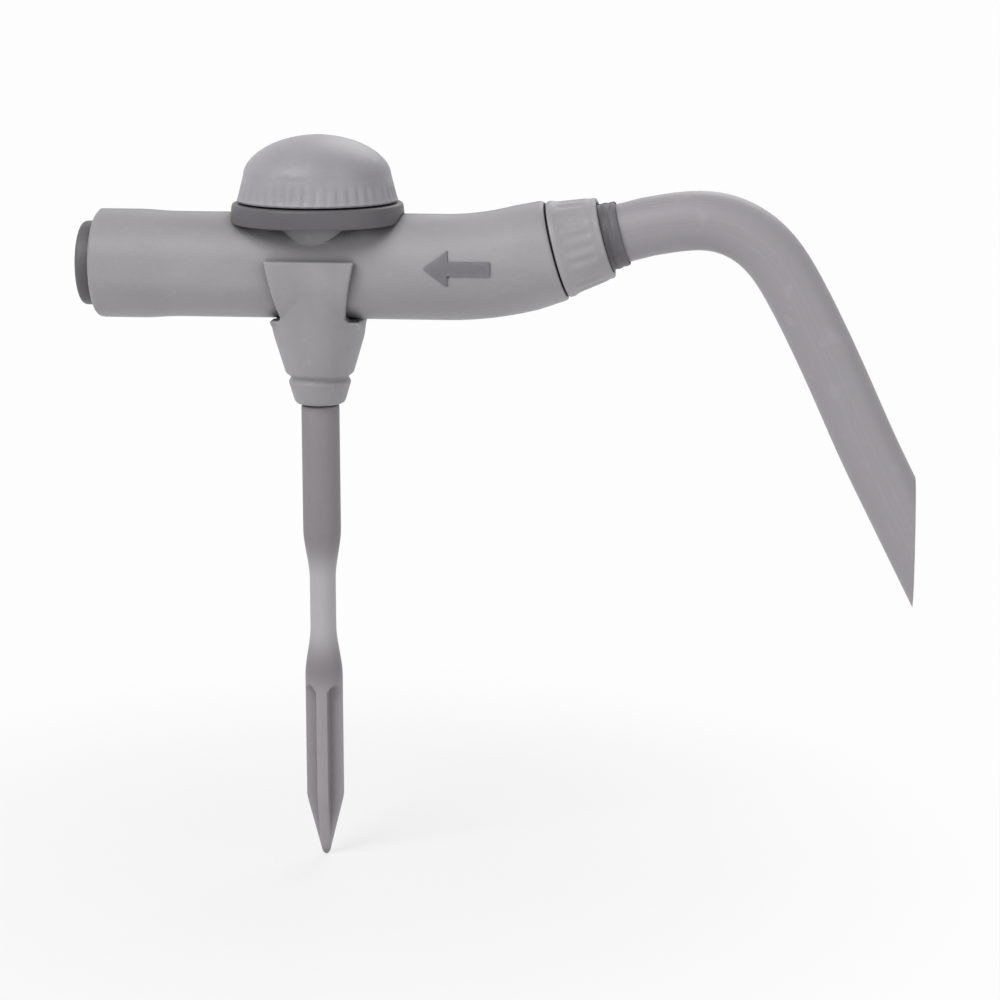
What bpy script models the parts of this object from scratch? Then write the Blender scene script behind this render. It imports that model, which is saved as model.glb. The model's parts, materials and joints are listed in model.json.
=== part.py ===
"""Adjustable drip emitter on a ground stake, fed by a quarter inch supply tube.

Metres, +Z up. The origin is the stake's point, on the stake's axis. The barrel lies along X with its
flush plug at -X and its tube inlet at +X. The flow knob, the needle, the outlet and the stake share Z.
"""

from math import asin, cos, hypot, pi, radians, sin, tan

import bmesh
import bpy
from mathutils import Matrix, Vector

MM = 0.001

# Main sizes: the stake up to its shoulder, and the barrel from its closed end to the inlet arm's corner
STAKE_HEIGHT = 52.0 * MM
HEAD_LENGTH = 42.9 * MM

# Clearances between pieces
FIT = 0.15 * MM
FACE = 0.10 * MM
RUN = 0.20 * MM
JOIN = 0.50 * MM
MERGE = 0.000001

# Stake
STAKE_RADIUS = 2.1 * MM
STAKE_TIP_RADIUS = 0.35 * MM
WAIST_RADIUS = 1.45 * MM
TENON_RADIUS = 1.6 * MM
POINT_LENGTH = 7.0 * MM
SPEAR_LENGTH = 21.0 * MM
WAIST_BLEND = 5.8 * MM
WAIST_LENGTH = 5.4 * MM
TENON_LENGTH = 5.4 * MM
FIN_THICKNESS = 1.2 * MM

# Saddle that clips under the barrel and carries it on the stake
NOSE_RADIUS = 2.7 * MM
FUNNEL_HEIGHT = 9.5 * MM
CLIP_WALL = 1.1 * MM
CLIP_WIDTH = 9.8 * MM
CLIP_REACH = 1.2 * MM
FUNNEL_MOUTH_RADIUS = 2.2 * MM
FUNNEL_SLOPE = 1.4 * MM

# Barrel
BARREL_RADIUS = 5.7 * MM
BARREL_WALL = 1.3 * MM
BELL_FLARE = 0.2 * MM
BELL_LENGTH = 9.0 * MM
CLOSED_END = 24.4 * MM
EDGE_ROUND = 0.6 * MM
OUTLET_RADIUS = 2.4 * MM
OUTLET_LENGTH = 1.6 * MM
OUTLET_RING_THICKNESS = 0.9 * MM
NECK_RADIUS = 5.0 * MM
NECK_WALL = 1.4 * MM
NECK_RISE = 1.3 * MM

# Inlet arm, which leaves the barrel's axis at a slant
ARM_TILT = radians(15)
ARM_BEND_RADIUS = 34.0 * MM
ARM_LENGTH = 7.8 * MM
ARM_END_RADIUS = 5.5 * MM
SPIGOT_RADIUS = 4.0 * MM
SPIGOT_LENGTH = 2.6 * MM
PASSAGE_RADIUS = 2.5 * MM
INLET_BORE_RADIUS = 3.2 * MM
INLET_BORE_DEPTH = 4.4 * MM
BORE_STOP = 6.0 * MM

# Metering seat and needle
SEAT_RADIUS = 1.8 * MM
SEAT_HEIGHT = 3.0 * MM
ORIFICE_RADIUS = 0.6 * MM
SEAT_CONE_RADIUS = 1.2 * MM
SEAT_CONE_DEPTH = 1.0 * MM
STEM_RADIUS = 1.0 * MM
NEEDLE_TIP_RADIUS = 0.3 * MM
NEEDLE_CONE_LENGTH = 1.5 * MM
NEEDLE_KEY_SIDE = 2.2 * MM
NEEDLE_THREAD_RADIUS = 1.05 * MM
NEEDLE_PITCH = 1.6 * MM
KNOB_TURN = radians(300)

# Bonnet, gland and gasket
GASKET_THICKNESS = 0.6 * MM
BONNET_PLATE = 0.8 * MM
BONNET_TOP_RADIUS = 6.8 * MM
BONNET_RIM_RADIUS = 9.5 * MM
BONNET_RIM_TAPER = 0.2 * MM
BONNET_ROOF = 0.9 * MM
BONNET_SKIRT_DROP = 1.2 * MM
BONNET_SKIRT_WALL = 1.2 * MM
BONNET_COLLAR_WALL = 1.1 * MM
BONNET_LIFT = 0.3 * MM
BOSS_RADIUS = 3.0 * MM
BOSS_HEIGHT = 1.4 * MM
GLAND_BORE_RADIUS = 1.75 * MM
GLAND_DROP = 3.2 * MM
STEM_RING_SPACE = 0.75 * MM
GLAND_BUSH_HEIGHT = 0.5 * MM

# Knob and the ring that holds it down
KNOB_RIM_RADIUS = 8.75 * MM
KNOB_SHOULDER_RADIUS = 8.0 * MM
KNOB_SKIRT_HEIGHT = 2.95 * MM
KNOB_DOME_HEIGHT = 4.2 * MM
KNOB_WALL = 1.2 * MM
KNOB_HUB_WALL = 1.0 * MM
SNAP_RING_THICKNESS = 0.4 * MM
SNAP_RING_WIDTH = 0.7 * MM
SNAP_RING_RISE = 0.55 * MM
SNAP_RING_SPLIT = 1.2 * MM
DOME_STEPS = 10

# Flush plug
PLUG_HEAD_RADIUS = 4.6 * MM
PLUG_HEAD_THICKNESS = 1.6 * MM
PLUG_LENGTH = 7.2 * MM
PLUG_WALL = 1.3 * MM
PLUG_RING_DEPTH = 0.65 * MM
PLUG_RING_PLACE = 3.0 * MM
PLUG_GROOVE_WIDTH = 1.1 * MM

# Strainer and barbed inlet
STRAINER_FLANGE = 0.8 * MM
STRAINER_LENGTH = 5.6 * MM
STRAINER_WALL = 0.6 * MM
STRAINER_SLOT = 0.6 * MM
STRAINER_SLOTTED = 3.6 * MM
BARB_BORE_RADIUS = 1.2 * MM
BARB_RADIUS = 2.0 * MM
BARB_ROOT_RADIUS = 1.75 * MM
BARB_COUNT = 3
BARB_TAIL = 6.4 * MM
INSERT_FLANGE = 0.7 * MM
INSERT_RING_DEPTH = 0.55 * MM
INSERT_RING_PLACE = 1.5 * MM
INSERT_GROOVE_WIDTH = 1.0 * MM

# Grip ring and lock nut
GRIP_FLANGE_RADIUS = 3.95 * MM
GRIP_FLANGE_LENGTH = 1.1 * MM
GRIP_SLEEVE_RADIUS = 3.7 * MM
GRIP_MOUTH_RADIUS = 3.5 * MM
GRIP_SHOWN = 1.9 * MM
GRIP_SPLIT = 0.8 * MM
NUT_BASE_RADIUS = 5.3 * MM
NUT_MOUTH_RADIUS = 4.45 * MM
NUT_LIP = 0.8 * MM
NUT_EDGE = 0.35 * MM
NUT_PITCH = 1.6 * MM
NUT_TURN = radians(270)

# Supply tube
TUBE_RADIUS = 3.175 * MM
TUBE_WALL = 1.025 * MM
TUBE_LEAD = 1.6 * MM
TUBE_STEP = 3.0 * MM
TUBE_CUT = 29.0 * MM
TUBE_OVERRUN = 3.0 * MM
TUBE_ROUTE = (
    (6.4, -0.2, 1.0),
    (10.0, -0.7, 0.0),
    (13.5, -1.4, -2.6),
    (17.1, -2.4, -8.7),
    (20.6, -3.5, -15.7),
    (24.0, -4.7, -23.0),
    (27.7, -5.9, -30.1),
    (31.5, -7.1, -37.2),
    (35.4, -8.4, -44.6),
)

# Facets, shading and axis marks
FINE = 40
MEDIUM = 28
SMALL = 20
RING_SIDES = 8
BEND_STEPS = 6
TUBE_ROUNDING = 4
SHARP_ANGLE = radians(35)
AXIS_SIZE = 5.0 * MM

# Heights up the stake
SPEAR_TOP = SPEAR_LENGTH
WAIST_LOW = SPEAR_TOP + WAIST_BLEND
WAIST_HIGH = WAIST_LOW + WAIST_LENGTH
SHANK_LOW = WAIST_HIGH + WAIST_BLEND
SHOULDER = STAKE_HEIGHT
TENON_TOP = SHOULDER + TENON_LENGTH
NOSE = SHOULDER + FACE
BARREL_Z = NOSE + FUNNEL_HEIGHT + BARREL_RADIUS

# Heights above the barrel's axis, and radii that follow from fits
BORE_RADIUS = BARREL_RADIUS - BARREL_WALL
NOSE_DROP = FUNNEL_HEIGHT + BARREL_RADIUS
OUTLET_FOOT = -BARREL_RADIUS - OUTLET_LENGTH
OUTLET_RING_SEAT = OUTLET_RADIUS + OUTLET_RING_THICKNESS + 2 * FIT
NECK_TOP = BARREL_RADIUS + NECK_RISE
WELL_RADIUS = NECK_RADIUS - NECK_WALL
PLATE_LOW = NECK_TOP + GASKET_THICKNESS + 2 * FACE
PLATE_TOP = PLATE_LOW + BONNET_PLATE
BONNET_ROOF_LOW = BARREL_RADIUS + BONNET_LIFT
BONNET_ROOF_TOP = BONNET_ROOF_LOW + BONNET_ROOF
BONNET_FOOT = BONNET_ROOF_LOW - BONNET_SKIRT_DROP
BOSS_TOP = PLATE_TOP + BOSS_HEIGHT
GLAND_FOOT = PLATE_LOW - GLAND_DROP
BUSH_TOP = GLAND_FOOT + GLAND_BUSH_HEIGHT
STEM_RING_MIDDLE = BUSH_TOP + STEM_RING_SPACE / 2
NEEDLE_LIFT = NEEDLE_PITCH * KNOB_TURN / (2 * pi)
KEY_TOP = BOSS_TOP + RUN - NEEDLE_LIFT - FACE
KEY_LOW = BUSH_TOP + STEM_RING_SPACE + 2 * FACE
SEAT_FOOT = OUTLET_FOOT + FACE
SEAT_TOP = SEAT_FOOT + SEAT_HEIGHT
NEEDLE_TIP = SEAT_TOP - SEAT_CONE_DEPTH + FACE
HUB_FOOT = PLATE_TOP + FIT
KNOB_FOOT = BONNET_ROOF_TOP + FIT
KNOB_SHOULDER = KNOB_FOOT + KNOB_SKIRT_HEIGHT
KNOB_TOP = KNOB_SHOULDER + KNOB_DOME_HEIGHT
HUB_TOP = KNOB_TOP - KNOB_WALL - FACE
NEEDLE_TOP = HUB_TOP - NEEDLE_LIFT - RUN
KNOB_BEARING_RADIUS = BOSS_RADIUS + RUN
HUB_RADIUS = KNOB_BEARING_RADIUS + SNAP_RING_WIDTH / 2 + KNOB_HUB_WALL
SNAP_LOW = PLATE_TOP + SNAP_RING_RISE
SNAP_HIGH = SNAP_LOW + SNAP_RING_THICKNESS
SNAP_MIDDLE_RADIUS = BOSS_RADIUS + RUN / 2

# Distances along the inlet arm from the corner on the barrel's axis
ARM_CORNER = HEAD_LENGTH - CLOSED_END
SPIGOT_END = ARM_LENGTH + SPIGOT_LENGTH
INLET_FLOOR = SPIGOT_END - INLET_BORE_DEPTH
STRAINER_FACE = INLET_FLOOR + FACE + STRAINER_FLANGE
INSERT_FOOT = STRAINER_FACE + FACE
FLANGE_LOW = SPIGOT_END + FACE
FLANGE_HIGH = FLANGE_LOW + INSERT_FLANGE
TUBE_START = FLANGE_HIGH + FACE
GRIP_LOW = TUBE_START
GRIP_STEP = GRIP_LOW + GRIP_FLANGE_LENGTH
NUT_FOOT = ARM_LENGTH + RUN
LIP_LOW = GRIP_STEP + FACE
NUT_END = LIP_LOW + NUT_LIP
GRIP_END = NUT_END + GRIP_SHOWN
NUT_TRAVEL = NUT_PITCH * NUT_TURN / (2 * pi)
TUBE_STRAIGHT = GRIP_END + NUT_TRAVEL + TUBE_LEAD
TUBE_BORE_RADIUS = TUBE_RADIUS - TUBE_WALL
INSERT_RADIUS = INLET_BORE_RADIUS - FIT
GRIP_BORE_RADIUS = TUBE_RADIUS + FIT
NUT_BORE_RADIUS = SPIGOT_RADIUS + RUN


def clear_scene():
    for old in list(bpy.data.objects):
        bpy.data.objects.remove(old, do_unlink=True)


def finish(name, colour, roughness):
    """One Principled material."""
    made = bpy.data.materials.new(name)
    made.use_nodes = True
    shader = made.node_tree.nodes["Principled BSDF"]
    shader.inputs["Base Color"].default_value = (*colour, 1.0)
    shader.inputs["Roughness"].default_value = roughness
    shader.inputs["Metallic"].default_value = 0.0
    return made


def frame(name, location, turn=(0.0, 0.0, 0.0)):
    """An empty on a joint or construction axis."""
    empty = bpy.data.objects.new(name, None)
    empty.location = location
    empty.rotation_euler = turn
    empty.empty_display_size = AXIS_SIZE
    bpy.context.scene.collection.objects.link(empty)
    return empty


def piece(name, shape, parent, material=None):
    """An object from a bmesh, on its frame. Without a material it is a cutter."""
    bmesh.ops.recalc_face_normals(shape, faces=shape.faces)
    mesh = bpy.data.meshes.new(name)
    shape.to_mesh(mesh)
    shape.free()
    made = bpy.data.objects.new(name, mesh)
    made.parent = parent
    bpy.context.scene.collection.objects.link(made)
    if material is None:
        made.hide_render = True
        made.display_type = "WIRE"
        return made
    mesh.materials.append(material)
    mesh.shade_smooth()
    mesh.set_sharp_from_angle(angle=SHARP_ANGLE)
    return made


def turned(profile, sides):
    """A profile of (radius, height) points turned about local Z, closed by itself or on the axis."""
    shape = bmesh.new()
    points = [shape.verts.new((radius, 0.0, height)) for radius, height in profile]
    edges = [shape.edges.new(pair) for pair in zip(points, points[1:])]
    if profile[0][0] > 0 or profile[-1][0] > 0:
        edges.append(shape.edges.new((points[-1], points[0])))
    bmesh.ops.spin(shape, geom=points + edges, cent=(0, 0, 0), axis=(0, 0, 1),
                   angle=2 * pi, steps=sides, use_merge=True)
    bmesh.ops.remove_doubles(shape, verts=shape.verts, dist=MERGE)
    return shape


def rod(radius, low, high, sides):
    """A plain round rod between two heights."""
    return turned([(0.0, low), (radius, low), (radius, high), (0.0, high)], sides)


def square_rod(side, low, high):
    """A square rod whose flats face X and Y."""
    shape = rod(side / 2 / cos(pi / 4), low, high, 4)
    bmesh.ops.rotate(shape, verts=shape.verts, cent=(0, 0, 0), matrix=Matrix.Rotation(pi / 4, 3, "Z"))
    return shape


def ring_seal(middle, thickness, height):
    """A round rubber ring about local Z."""
    section = [2 * pi * step / RING_SIDES for step in range(RING_SIDES)]
    return turned([(middle + thickness / 2 * cos(a), height + thickness / 2 * sin(a)) for a in section], SMALL)


def blocks(*corners):
    """Boxes, each from its lowest and highest corner."""
    shape = bmesh.new()
    for low, high in corners:
        low, high = Vector(low), Vector(high)
        grown = Matrix.Translation((low + high) / 2) @ Matrix.Diagonal((*(high - low), 1.0))
        bmesh.ops.create_cube(shape, size=1.0, matrix=grown)
    return shape


def swept(stations, sides):
    """Rings of given radius square to a path, joined into a closed round bar."""
    shape = bmesh.new()
    rings = []
    for centre, along, radius in stations:
        across = Vector((0.0, 1.0, 0.0))
        rise = across.cross(along)
        turns = [2 * pi * step / sides for step in range(sides)]
        rings.append([shape.verts.new(centre + radius * (cos(a) * across + sin(a) * rise)) for a in turns])
    for first, second in zip(rings, rings[1:]):
        for step in range(sides):
            following = (step + 1) % sides
            shape.faces.new((first[step], first[following], second[following], second[step]))
    shape.faces.new(rings[0])
    shape.faces.new(rings[-1])
    return shape


def boolean(target, tool, operation="DIFFERENCE"):
    cut = target.modifiers.new(tool.name, "BOOLEAN")
    cut.object = tool
    cut.operation = operation
    cut.solver = "EXACT"


def make_stake(base, plastic):
    profile = [
        (0.0, 0.0),
        (STAKE_TIP_RADIUS, 0.0),
        (STAKE_RADIUS, POINT_LENGTH),
        (STAKE_RADIUS, SPEAR_TOP),
        (WAIST_RADIUS, WAIST_LOW),
        (WAIST_RADIUS, WAIST_HIGH),
        (STAKE_RADIUS, SHANK_LOW),
        (STAKE_RADIUS, SHOULDER),
        (TENON_RADIUS, SHOULDER),
        (TENON_RADIUS, TENON_TOP),
        (0.0, TENON_TOP),
    ]
    stake = piece("stake", turned(profile, SMALL), base, plastic)
    inner, outer = FIN_THICKNESS / 2, 2 * STAKE_RADIUS
    quarters = [(inner, outer), (-outer, -inner)]
    spans = [(-JOIN, SPEAR_TOP), (SHOULDER + FACE, TENON_TOP + JOIN)]
    corners = [((x[0], y[0], z[0]), (x[1], y[1], z[1])) for x in quarters for y in quarters for z in spans]
    boolean(stake, piece("stake_flutes", blocks(*corners), base))


def make_saddle(head, plastic):
    clip_radius = BARREL_RADIUS + FIT + CLIP_WALL
    reach = hypot(NOSE_RADIUS, NOSE_DROP)
    slope = asin(clip_radius / reach) - asin(NOSE_RADIUS / reach)
    touch_height = -NOSE_DROP + (reach * cos(asin(clip_radius / reach))) * cos(slope)
    touch_radius = NOSE_RADIUS + (touch_height + NOSE_DROP) * tan(slope)
    cone = [(0.0, -NOSE_DROP), (NOSE_RADIUS, -NOSE_DROP), (touch_radius, touch_height), (0.0, touch_height)]
    saddle = piece("stake_saddle", turned(cone, FINE), head, plastic)
    side = CLIP_WIDTH / 2
    far = 2 * clip_radius
    hoop = rod(clip_radius, -side - JOIN, side + JOIN, FINE)
    bmesh.ops.rotate(hoop, verts=hoop.verts, cent=(0, 0, 0), matrix=Matrix.Rotation(pi / 2, 3, "Y"))
    boolean(saddle, piece("saddle_hoop", hoop, head), "UNION")
    sides = blocks(
        ((side, -far, -NOSE_DROP - JOIN), (far, far, far)),
        ((-far, -far, -NOSE_DROP - JOIN), (-side, far, far)),
    )
    boolean(saddle, piece("saddle_sides", sides, head))
    opening = blocks(((-far, -far, CLIP_REACH), (far, far, far)))
    boolean(saddle, piece("saddle_opening", opening, head))
    nest = rod(BARREL_RADIUS + FIT, -far, far, FINE)
    bmesh.ops.rotate(nest, verts=nest.verts, cent=(0, 0, 0), matrix=Matrix.Rotation(pi / 2, 3, "Y"))
    boolean(saddle, piece("saddle_nest", nest, head))
    socket = TENON_RADIUS + FIT
    floor = OUTLET_FOOT - RUN
    bore = [
        (0.0, -NOSE_DROP - JOIN),
        (socket, -NOSE_DROP - JOIN),
        (socket, floor - FUNNEL_SLOPE),
        (FUNNEL_MOUTH_RADIUS, floor),
        (OUTLET_RING_SEAT, floor),
        (OUTLET_RING_SEAT, 0.0),
        (0.0, 0.0),
    ]
    boolean(saddle, piece("saddle_bore", turned(bore, MEDIUM), head))


def barrel_stations():
    """Rings along the barrel and round its bend into the inlet arm."""
    bell = BARREL_RADIUS + BELL_FLARE
    tangent = ARM_BEND_RADIUS * tan(ARM_TILT / 2)
    straight = [
        (-CLOSED_END, bell - EDGE_ROUND),
        (-CLOSED_END + EDGE_ROUND * (1 - cos(pi / 4)), bell - EDGE_ROUND * (1 - sin(pi / 4))),
        (-CLOSED_END + EDGE_ROUND, bell),
        (-CLOSED_END + BELL_LENGTH / 2, bell),
        (-CLOSED_END + BELL_LENGTH, BARREL_RADIUS),
    ]
    stations = [(Vector((x, 0.0, 0.0)), Vector((1.0, 0.0, 0.0)), radius) for x, radius in straight]
    start = ARM_CORNER - tangent
    for step in range(BEND_STEPS + 1):
        angle = ARM_TILT * step / BEND_STEPS
        centre = Vector((start + ARM_BEND_RADIUS * sin(angle), 0.0, ARM_BEND_RADIUS * (1 - cos(angle))))
        stations.append((centre, Vector((cos(angle), 0.0, sin(angle))), BARREL_RADIUS))
    along = Vector((cos(ARM_TILT), 0.0, sin(ARM_TILT)))
    corner = Vector((ARM_CORNER, 0.0, 0.0))
    for distance, radius in (
        (ARM_LENGTH - EDGE_ROUND, ARM_END_RADIUS),
        (ARM_LENGTH, ARM_END_RADIUS - EDGE_ROUND / 2),
    ):
        stations.append((corner + distance * along, along, radius))
    return stations


def make_barrel(head, closed_end, arm, plastic):
    barrel = piece("barrel", swept(barrel_stations(), FINE), head, plastic)
    boolean(barrel, piece("barrel_spigot", rod(SPIGOT_RADIUS, ARM_LENGTH - 2 * JOIN, SPIGOT_END, MEDIUM), arm),
            "UNION")
    boolean(barrel, piece("barrel_neck", rod(NECK_RADIUS, 0.0, NECK_TOP, FINE), head), "UNION")
    boolean(barrel, piece("barrel_outlet", rod(OUTLET_RADIUS, OUTLET_FOOT, 0.0, MEDIUM), head), "UNION")
    far_end = -(CLOSED_END + ARM_CORNER - BORE_STOP)
    boolean(barrel, piece("barrel_bore", rod(BORE_RADIUS, far_end, JOIN, FINE), closed_end))
    boolean(barrel, piece("neck_well", rod(WELL_RADIUS, 0.0, NECK_TOP + JOIN, MEDIUM), head))
    boolean(barrel, piece("outlet_hole", rod(SEAT_RADIUS + FIT, OUTLET_FOOT - JOIN, 0.0, SMALL), head))
    inlet = [
        (0.0, -BORE_STOP - JOIN),
        (PASSAGE_RADIUS, -BORE_STOP - JOIN),
        (PASSAGE_RADIUS, INLET_FLOOR),
        (INLET_BORE_RADIUS, INLET_FLOOR),
        (INLET_BORE_RADIUS, SPIGOT_END + JOIN),
        (0.0, SPIGOT_END + JOIN),
    ]
    boolean(barrel, piece("inlet_bore", turned(inlet, MEDIUM), arm))


def make_outlet(head, plastic, rubber):
    profile = [
        (ORIFICE_RADIUS, SEAT_FOOT),
        (SEAT_RADIUS, SEAT_FOOT),
        (SEAT_RADIUS, SEAT_TOP),
        (SEAT_CONE_RADIUS, SEAT_TOP),
        (ORIFICE_RADIUS, SEAT_TOP - SEAT_CONE_DEPTH),
    ]
    piece("orifice_seat", turned(profile, SMALL), head, plastic)
    middle = (OUTLET_RADIUS + OUTLET_RING_SEAT) / 2
    height = OUTLET_FOOT + OUTLET_RING_THICKNESS / 2 + FACE
    piece("outlet_o_ring", ring_seal(middle, OUTLET_RING_THICKNESS, height), head, rubber)


def make_needle(head, plastic):
    profile = [
        (0.0, NEEDLE_TIP),
        (NEEDLE_TIP_RADIUS, NEEDLE_TIP),
        (STEM_RADIUS, NEEDLE_TIP + NEEDLE_CONE_LENGTH),
        (STEM_RADIUS, KEY_TOP - JOIN),
        (NEEDLE_THREAD_RADIUS, KEY_TOP - JOIN),
        (NEEDLE_THREAD_RADIUS, NEEDLE_TOP),
        (0.0, NEEDLE_TOP),
    ]
    needle = piece("needle", turned(profile, SMALL), head, plastic)
    boolean(needle, piece("needle_key", square_rod(NEEDLE_KEY_SIDE, KEY_LOW, KEY_TOP), head), "UNION")


def make_bonnet(head, plastic, bush_plastic, rubber):
    collar_bore = NECK_RADIUS + FIT
    collar = collar_bore + BONNET_COLLAR_WALL
    gland = WELL_RADIUS - FIT
    skirt_inside = BONNET_RIM_RADIUS - BONNET_SKIRT_WALL
    profile = [
        (GLAND_BORE_RADIUS, GLAND_FOOT),
        (gland, GLAND_FOOT),
        (gland, PLATE_LOW),
        (collar_bore, PLATE_LOW),
        (collar_bore, BONNET_FOOT),
        (collar, BONNET_FOOT),
        (collar, BONNET_ROOF_LOW),
        (skirt_inside, BONNET_ROOF_LOW),
        (skirt_inside, BONNET_FOOT),
        (BONNET_RIM_RADIUS, BONNET_FOOT),
        (BONNET_RIM_RADIUS - BONNET_RIM_TAPER, BONNET_ROOF_TOP),
        (BONNET_TOP_RADIUS, BONNET_ROOF_TOP),
        (BONNET_TOP_RADIUS, PLATE_TOP),
        (BOSS_RADIUS, PLATE_TOP),
        (BOSS_RADIUS, SNAP_LOW - FACE),
        (SNAP_MIDDLE_RADIUS - SNAP_RING_WIDTH / 2 - FACE, SNAP_LOW - FACE),
        (SNAP_MIDDLE_RADIUS - SNAP_RING_WIDTH / 2 - FACE, SNAP_HIGH + FACE),
        (BOSS_RADIUS, SNAP_HIGH + FACE),
        (BOSS_RADIUS, BOSS_TOP),
        (0.0, BOSS_TOP),
        (0.0, PLATE_LOW),
        (GLAND_BORE_RADIUS, PLATE_LOW),
    ]
    bonnet = piece("bonnet", turned(profile, FINE), head, plastic)
    far = BONNET_RIM_RADIUS + JOIN
    arch = rod(BARREL_RADIUS + RUN, -far, far, FINE)
    bmesh.ops.rotate(arch, verts=arch.verts, cent=(0, 0, 0), matrix=Matrix.Rotation(pi / 2, 3, "Y"))
    arch = piece("bonnet_arch", arch, head)
    boolean(arch, piece("arch_middle", rod(NECK_RADIUS, -far, far, MEDIUM), head))
    boolean(bonnet, arch)
    keyway = square_rod(NEEDLE_KEY_SIDE + 2 * RUN, PLATE_LOW - JOIN, BOSS_TOP + JOIN)
    boolean(bonnet, piece("bonnet_keyway", keyway, head))
    gasket = [
        (WELL_RADIUS, NECK_TOP + FACE),
        (NECK_RADIUS, NECK_TOP + FACE),
        (NECK_RADIUS, NECK_TOP + FACE + GASKET_THICKNESS),
        (WELL_RADIUS, NECK_TOP + FACE + GASKET_THICKNESS),
    ]
    piece("bonnet_gasket", turned(gasket, MEDIUM), head, rubber)
    seal = GLAND_BORE_RADIUS - STEM_RADIUS - FACE
    middle = (GLAND_BORE_RADIUS + STEM_RADIUS) / 2
    piece("stem_o_ring", ring_seal(middle, seal, STEM_RING_MIDDLE), head, rubber)
    bush = [
        (STEM_RADIUS + FIT, GLAND_FOOT + FACE),
        (GLAND_BORE_RADIUS - FACE, GLAND_FOOT + FACE),
        (GLAND_BORE_RADIUS - FACE, BUSH_TOP),
        (STEM_RADIUS + FIT, BUSH_TOP),
    ]
    piece("gland_bush", turned(bush, SMALL), head, bush_plastic)


def dome(radius, height, low, first, last):
    """Points over a quarter oval, between two angles above the shoulder."""
    angles = [first + (last - first) * step / DOME_STEPS for step in range(DOME_STEPS + 1)]
    return [(radius * cos(a), low + height * sin(a)) for a in angles]


def make_knob(head, plastic, ring_plastic):
    inside = dome(KNOB_SHOULDER_RADIUS - KNOB_WALL, KNOB_DOME_HEIGHT - KNOB_WALL, KNOB_SHOULDER, 0.0, pi / 2)
    inside = [point for point in inside if point[0] > HUB_RADIUS]
    groove = SNAP_MIDDLE_RADIUS + SNAP_RING_WIDTH / 2 + FACE
    thread = NEEDLE_THREAD_RADIUS + RUN
    profile = [
        (KNOB_RIM_RADIUS - KNOB_WALL, KNOB_FOOT),
        (KNOB_RIM_RADIUS, KNOB_FOOT),
        *dome(KNOB_SHOULDER_RADIUS, KNOB_DOME_HEIGHT, KNOB_SHOULDER, 0.0, pi / 2),
        (0.0, HUB_TOP),
        (thread, HUB_TOP),
        (thread, BOSS_TOP + RUN),
        (KNOB_BEARING_RADIUS, BOSS_TOP + RUN),
        (KNOB_BEARING_RADIUS, SNAP_HIGH + FACE),
        (groove, SNAP_HIGH + FACE),
        (groove, SNAP_LOW - FACE),
        (KNOB_BEARING_RADIUS, SNAP_LOW - FACE),
        (KNOB_BEARING_RADIUS, HUB_FOOT),
        (HUB_RADIUS, HUB_FOOT),
        (HUB_RADIUS, inside[-1][1]),
        *reversed(inside),
    ]
    piece("flow_knob", turned(profile, FINE), head, plastic)
    snap = [
        (SNAP_MIDDLE_RADIUS - SNAP_RING_WIDTH / 2, SNAP_LOW),
        (SNAP_MIDDLE_RADIUS + SNAP_RING_WIDTH / 2, SNAP_LOW),
        (SNAP_MIDDLE_RADIUS + SNAP_RING_WIDTH / 2, SNAP_HIGH),
        (SNAP_MIDDLE_RADIUS - SNAP_RING_WIDTH / 2, SNAP_HIGH),
    ]
    ring = piece("knob_snap_ring", turned(snap, MEDIUM), head, ring_plastic)
    half = SNAP_RING_SPLIT / 2
    split = blocks(((0.0, -half, SNAP_LOW - JOIN), (2 * BOSS_RADIUS, half, SNAP_HIGH + JOIN)))
    boolean(ring, piece("snap_ring_split", split, head))


def make_plug(closed_end, plastic, rubber):
    """Heights here run outwards from the barrel's closed end."""
    body = BORE_RADIUS - FIT
    groove = body - PLUG_RING_DEPTH
    groove_high = -PLUG_RING_PLACE + PLUG_GROOVE_WIDTH / 2
    groove_low = -PLUG_RING_PLACE - PLUG_GROOVE_WIDTH / 2
    hollow = groove - PLUG_WALL
    out = FACE + PLUG_HEAD_THICKNESS
    profile = [
        (0.0, 0.0),
        (hollow, 0.0),
        (hollow, -PLUG_LENGTH),
        (body, -PLUG_LENGTH),
        (body, groove_low),
        (groove, groove_low),
        (groove, groove_high),
        (body, groove_high),
        (body, FACE),
        (PLUG_HEAD_RADIUS, FACE),
        (PLUG_HEAD_RADIUS, out - EDGE_ROUND),
        (PLUG_HEAD_RADIUS - EDGE_ROUND * (1 - cos(pi / 4)), out - EDGE_ROUND * (1 - sin(pi / 4))),
        (PLUG_HEAD_RADIUS - EDGE_ROUND, out),
        (0.0, out),
    ]
    piece("flush_plug", turned(profile, FINE), closed_end, plastic)
    thickness = BORE_RADIUS - groove - FACE
    piece("flush_plug_o_ring", ring_seal((BORE_RADIUS + groove) / 2, thickness, -PLUG_RING_PLACE), closed_end,
          rubber)


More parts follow.
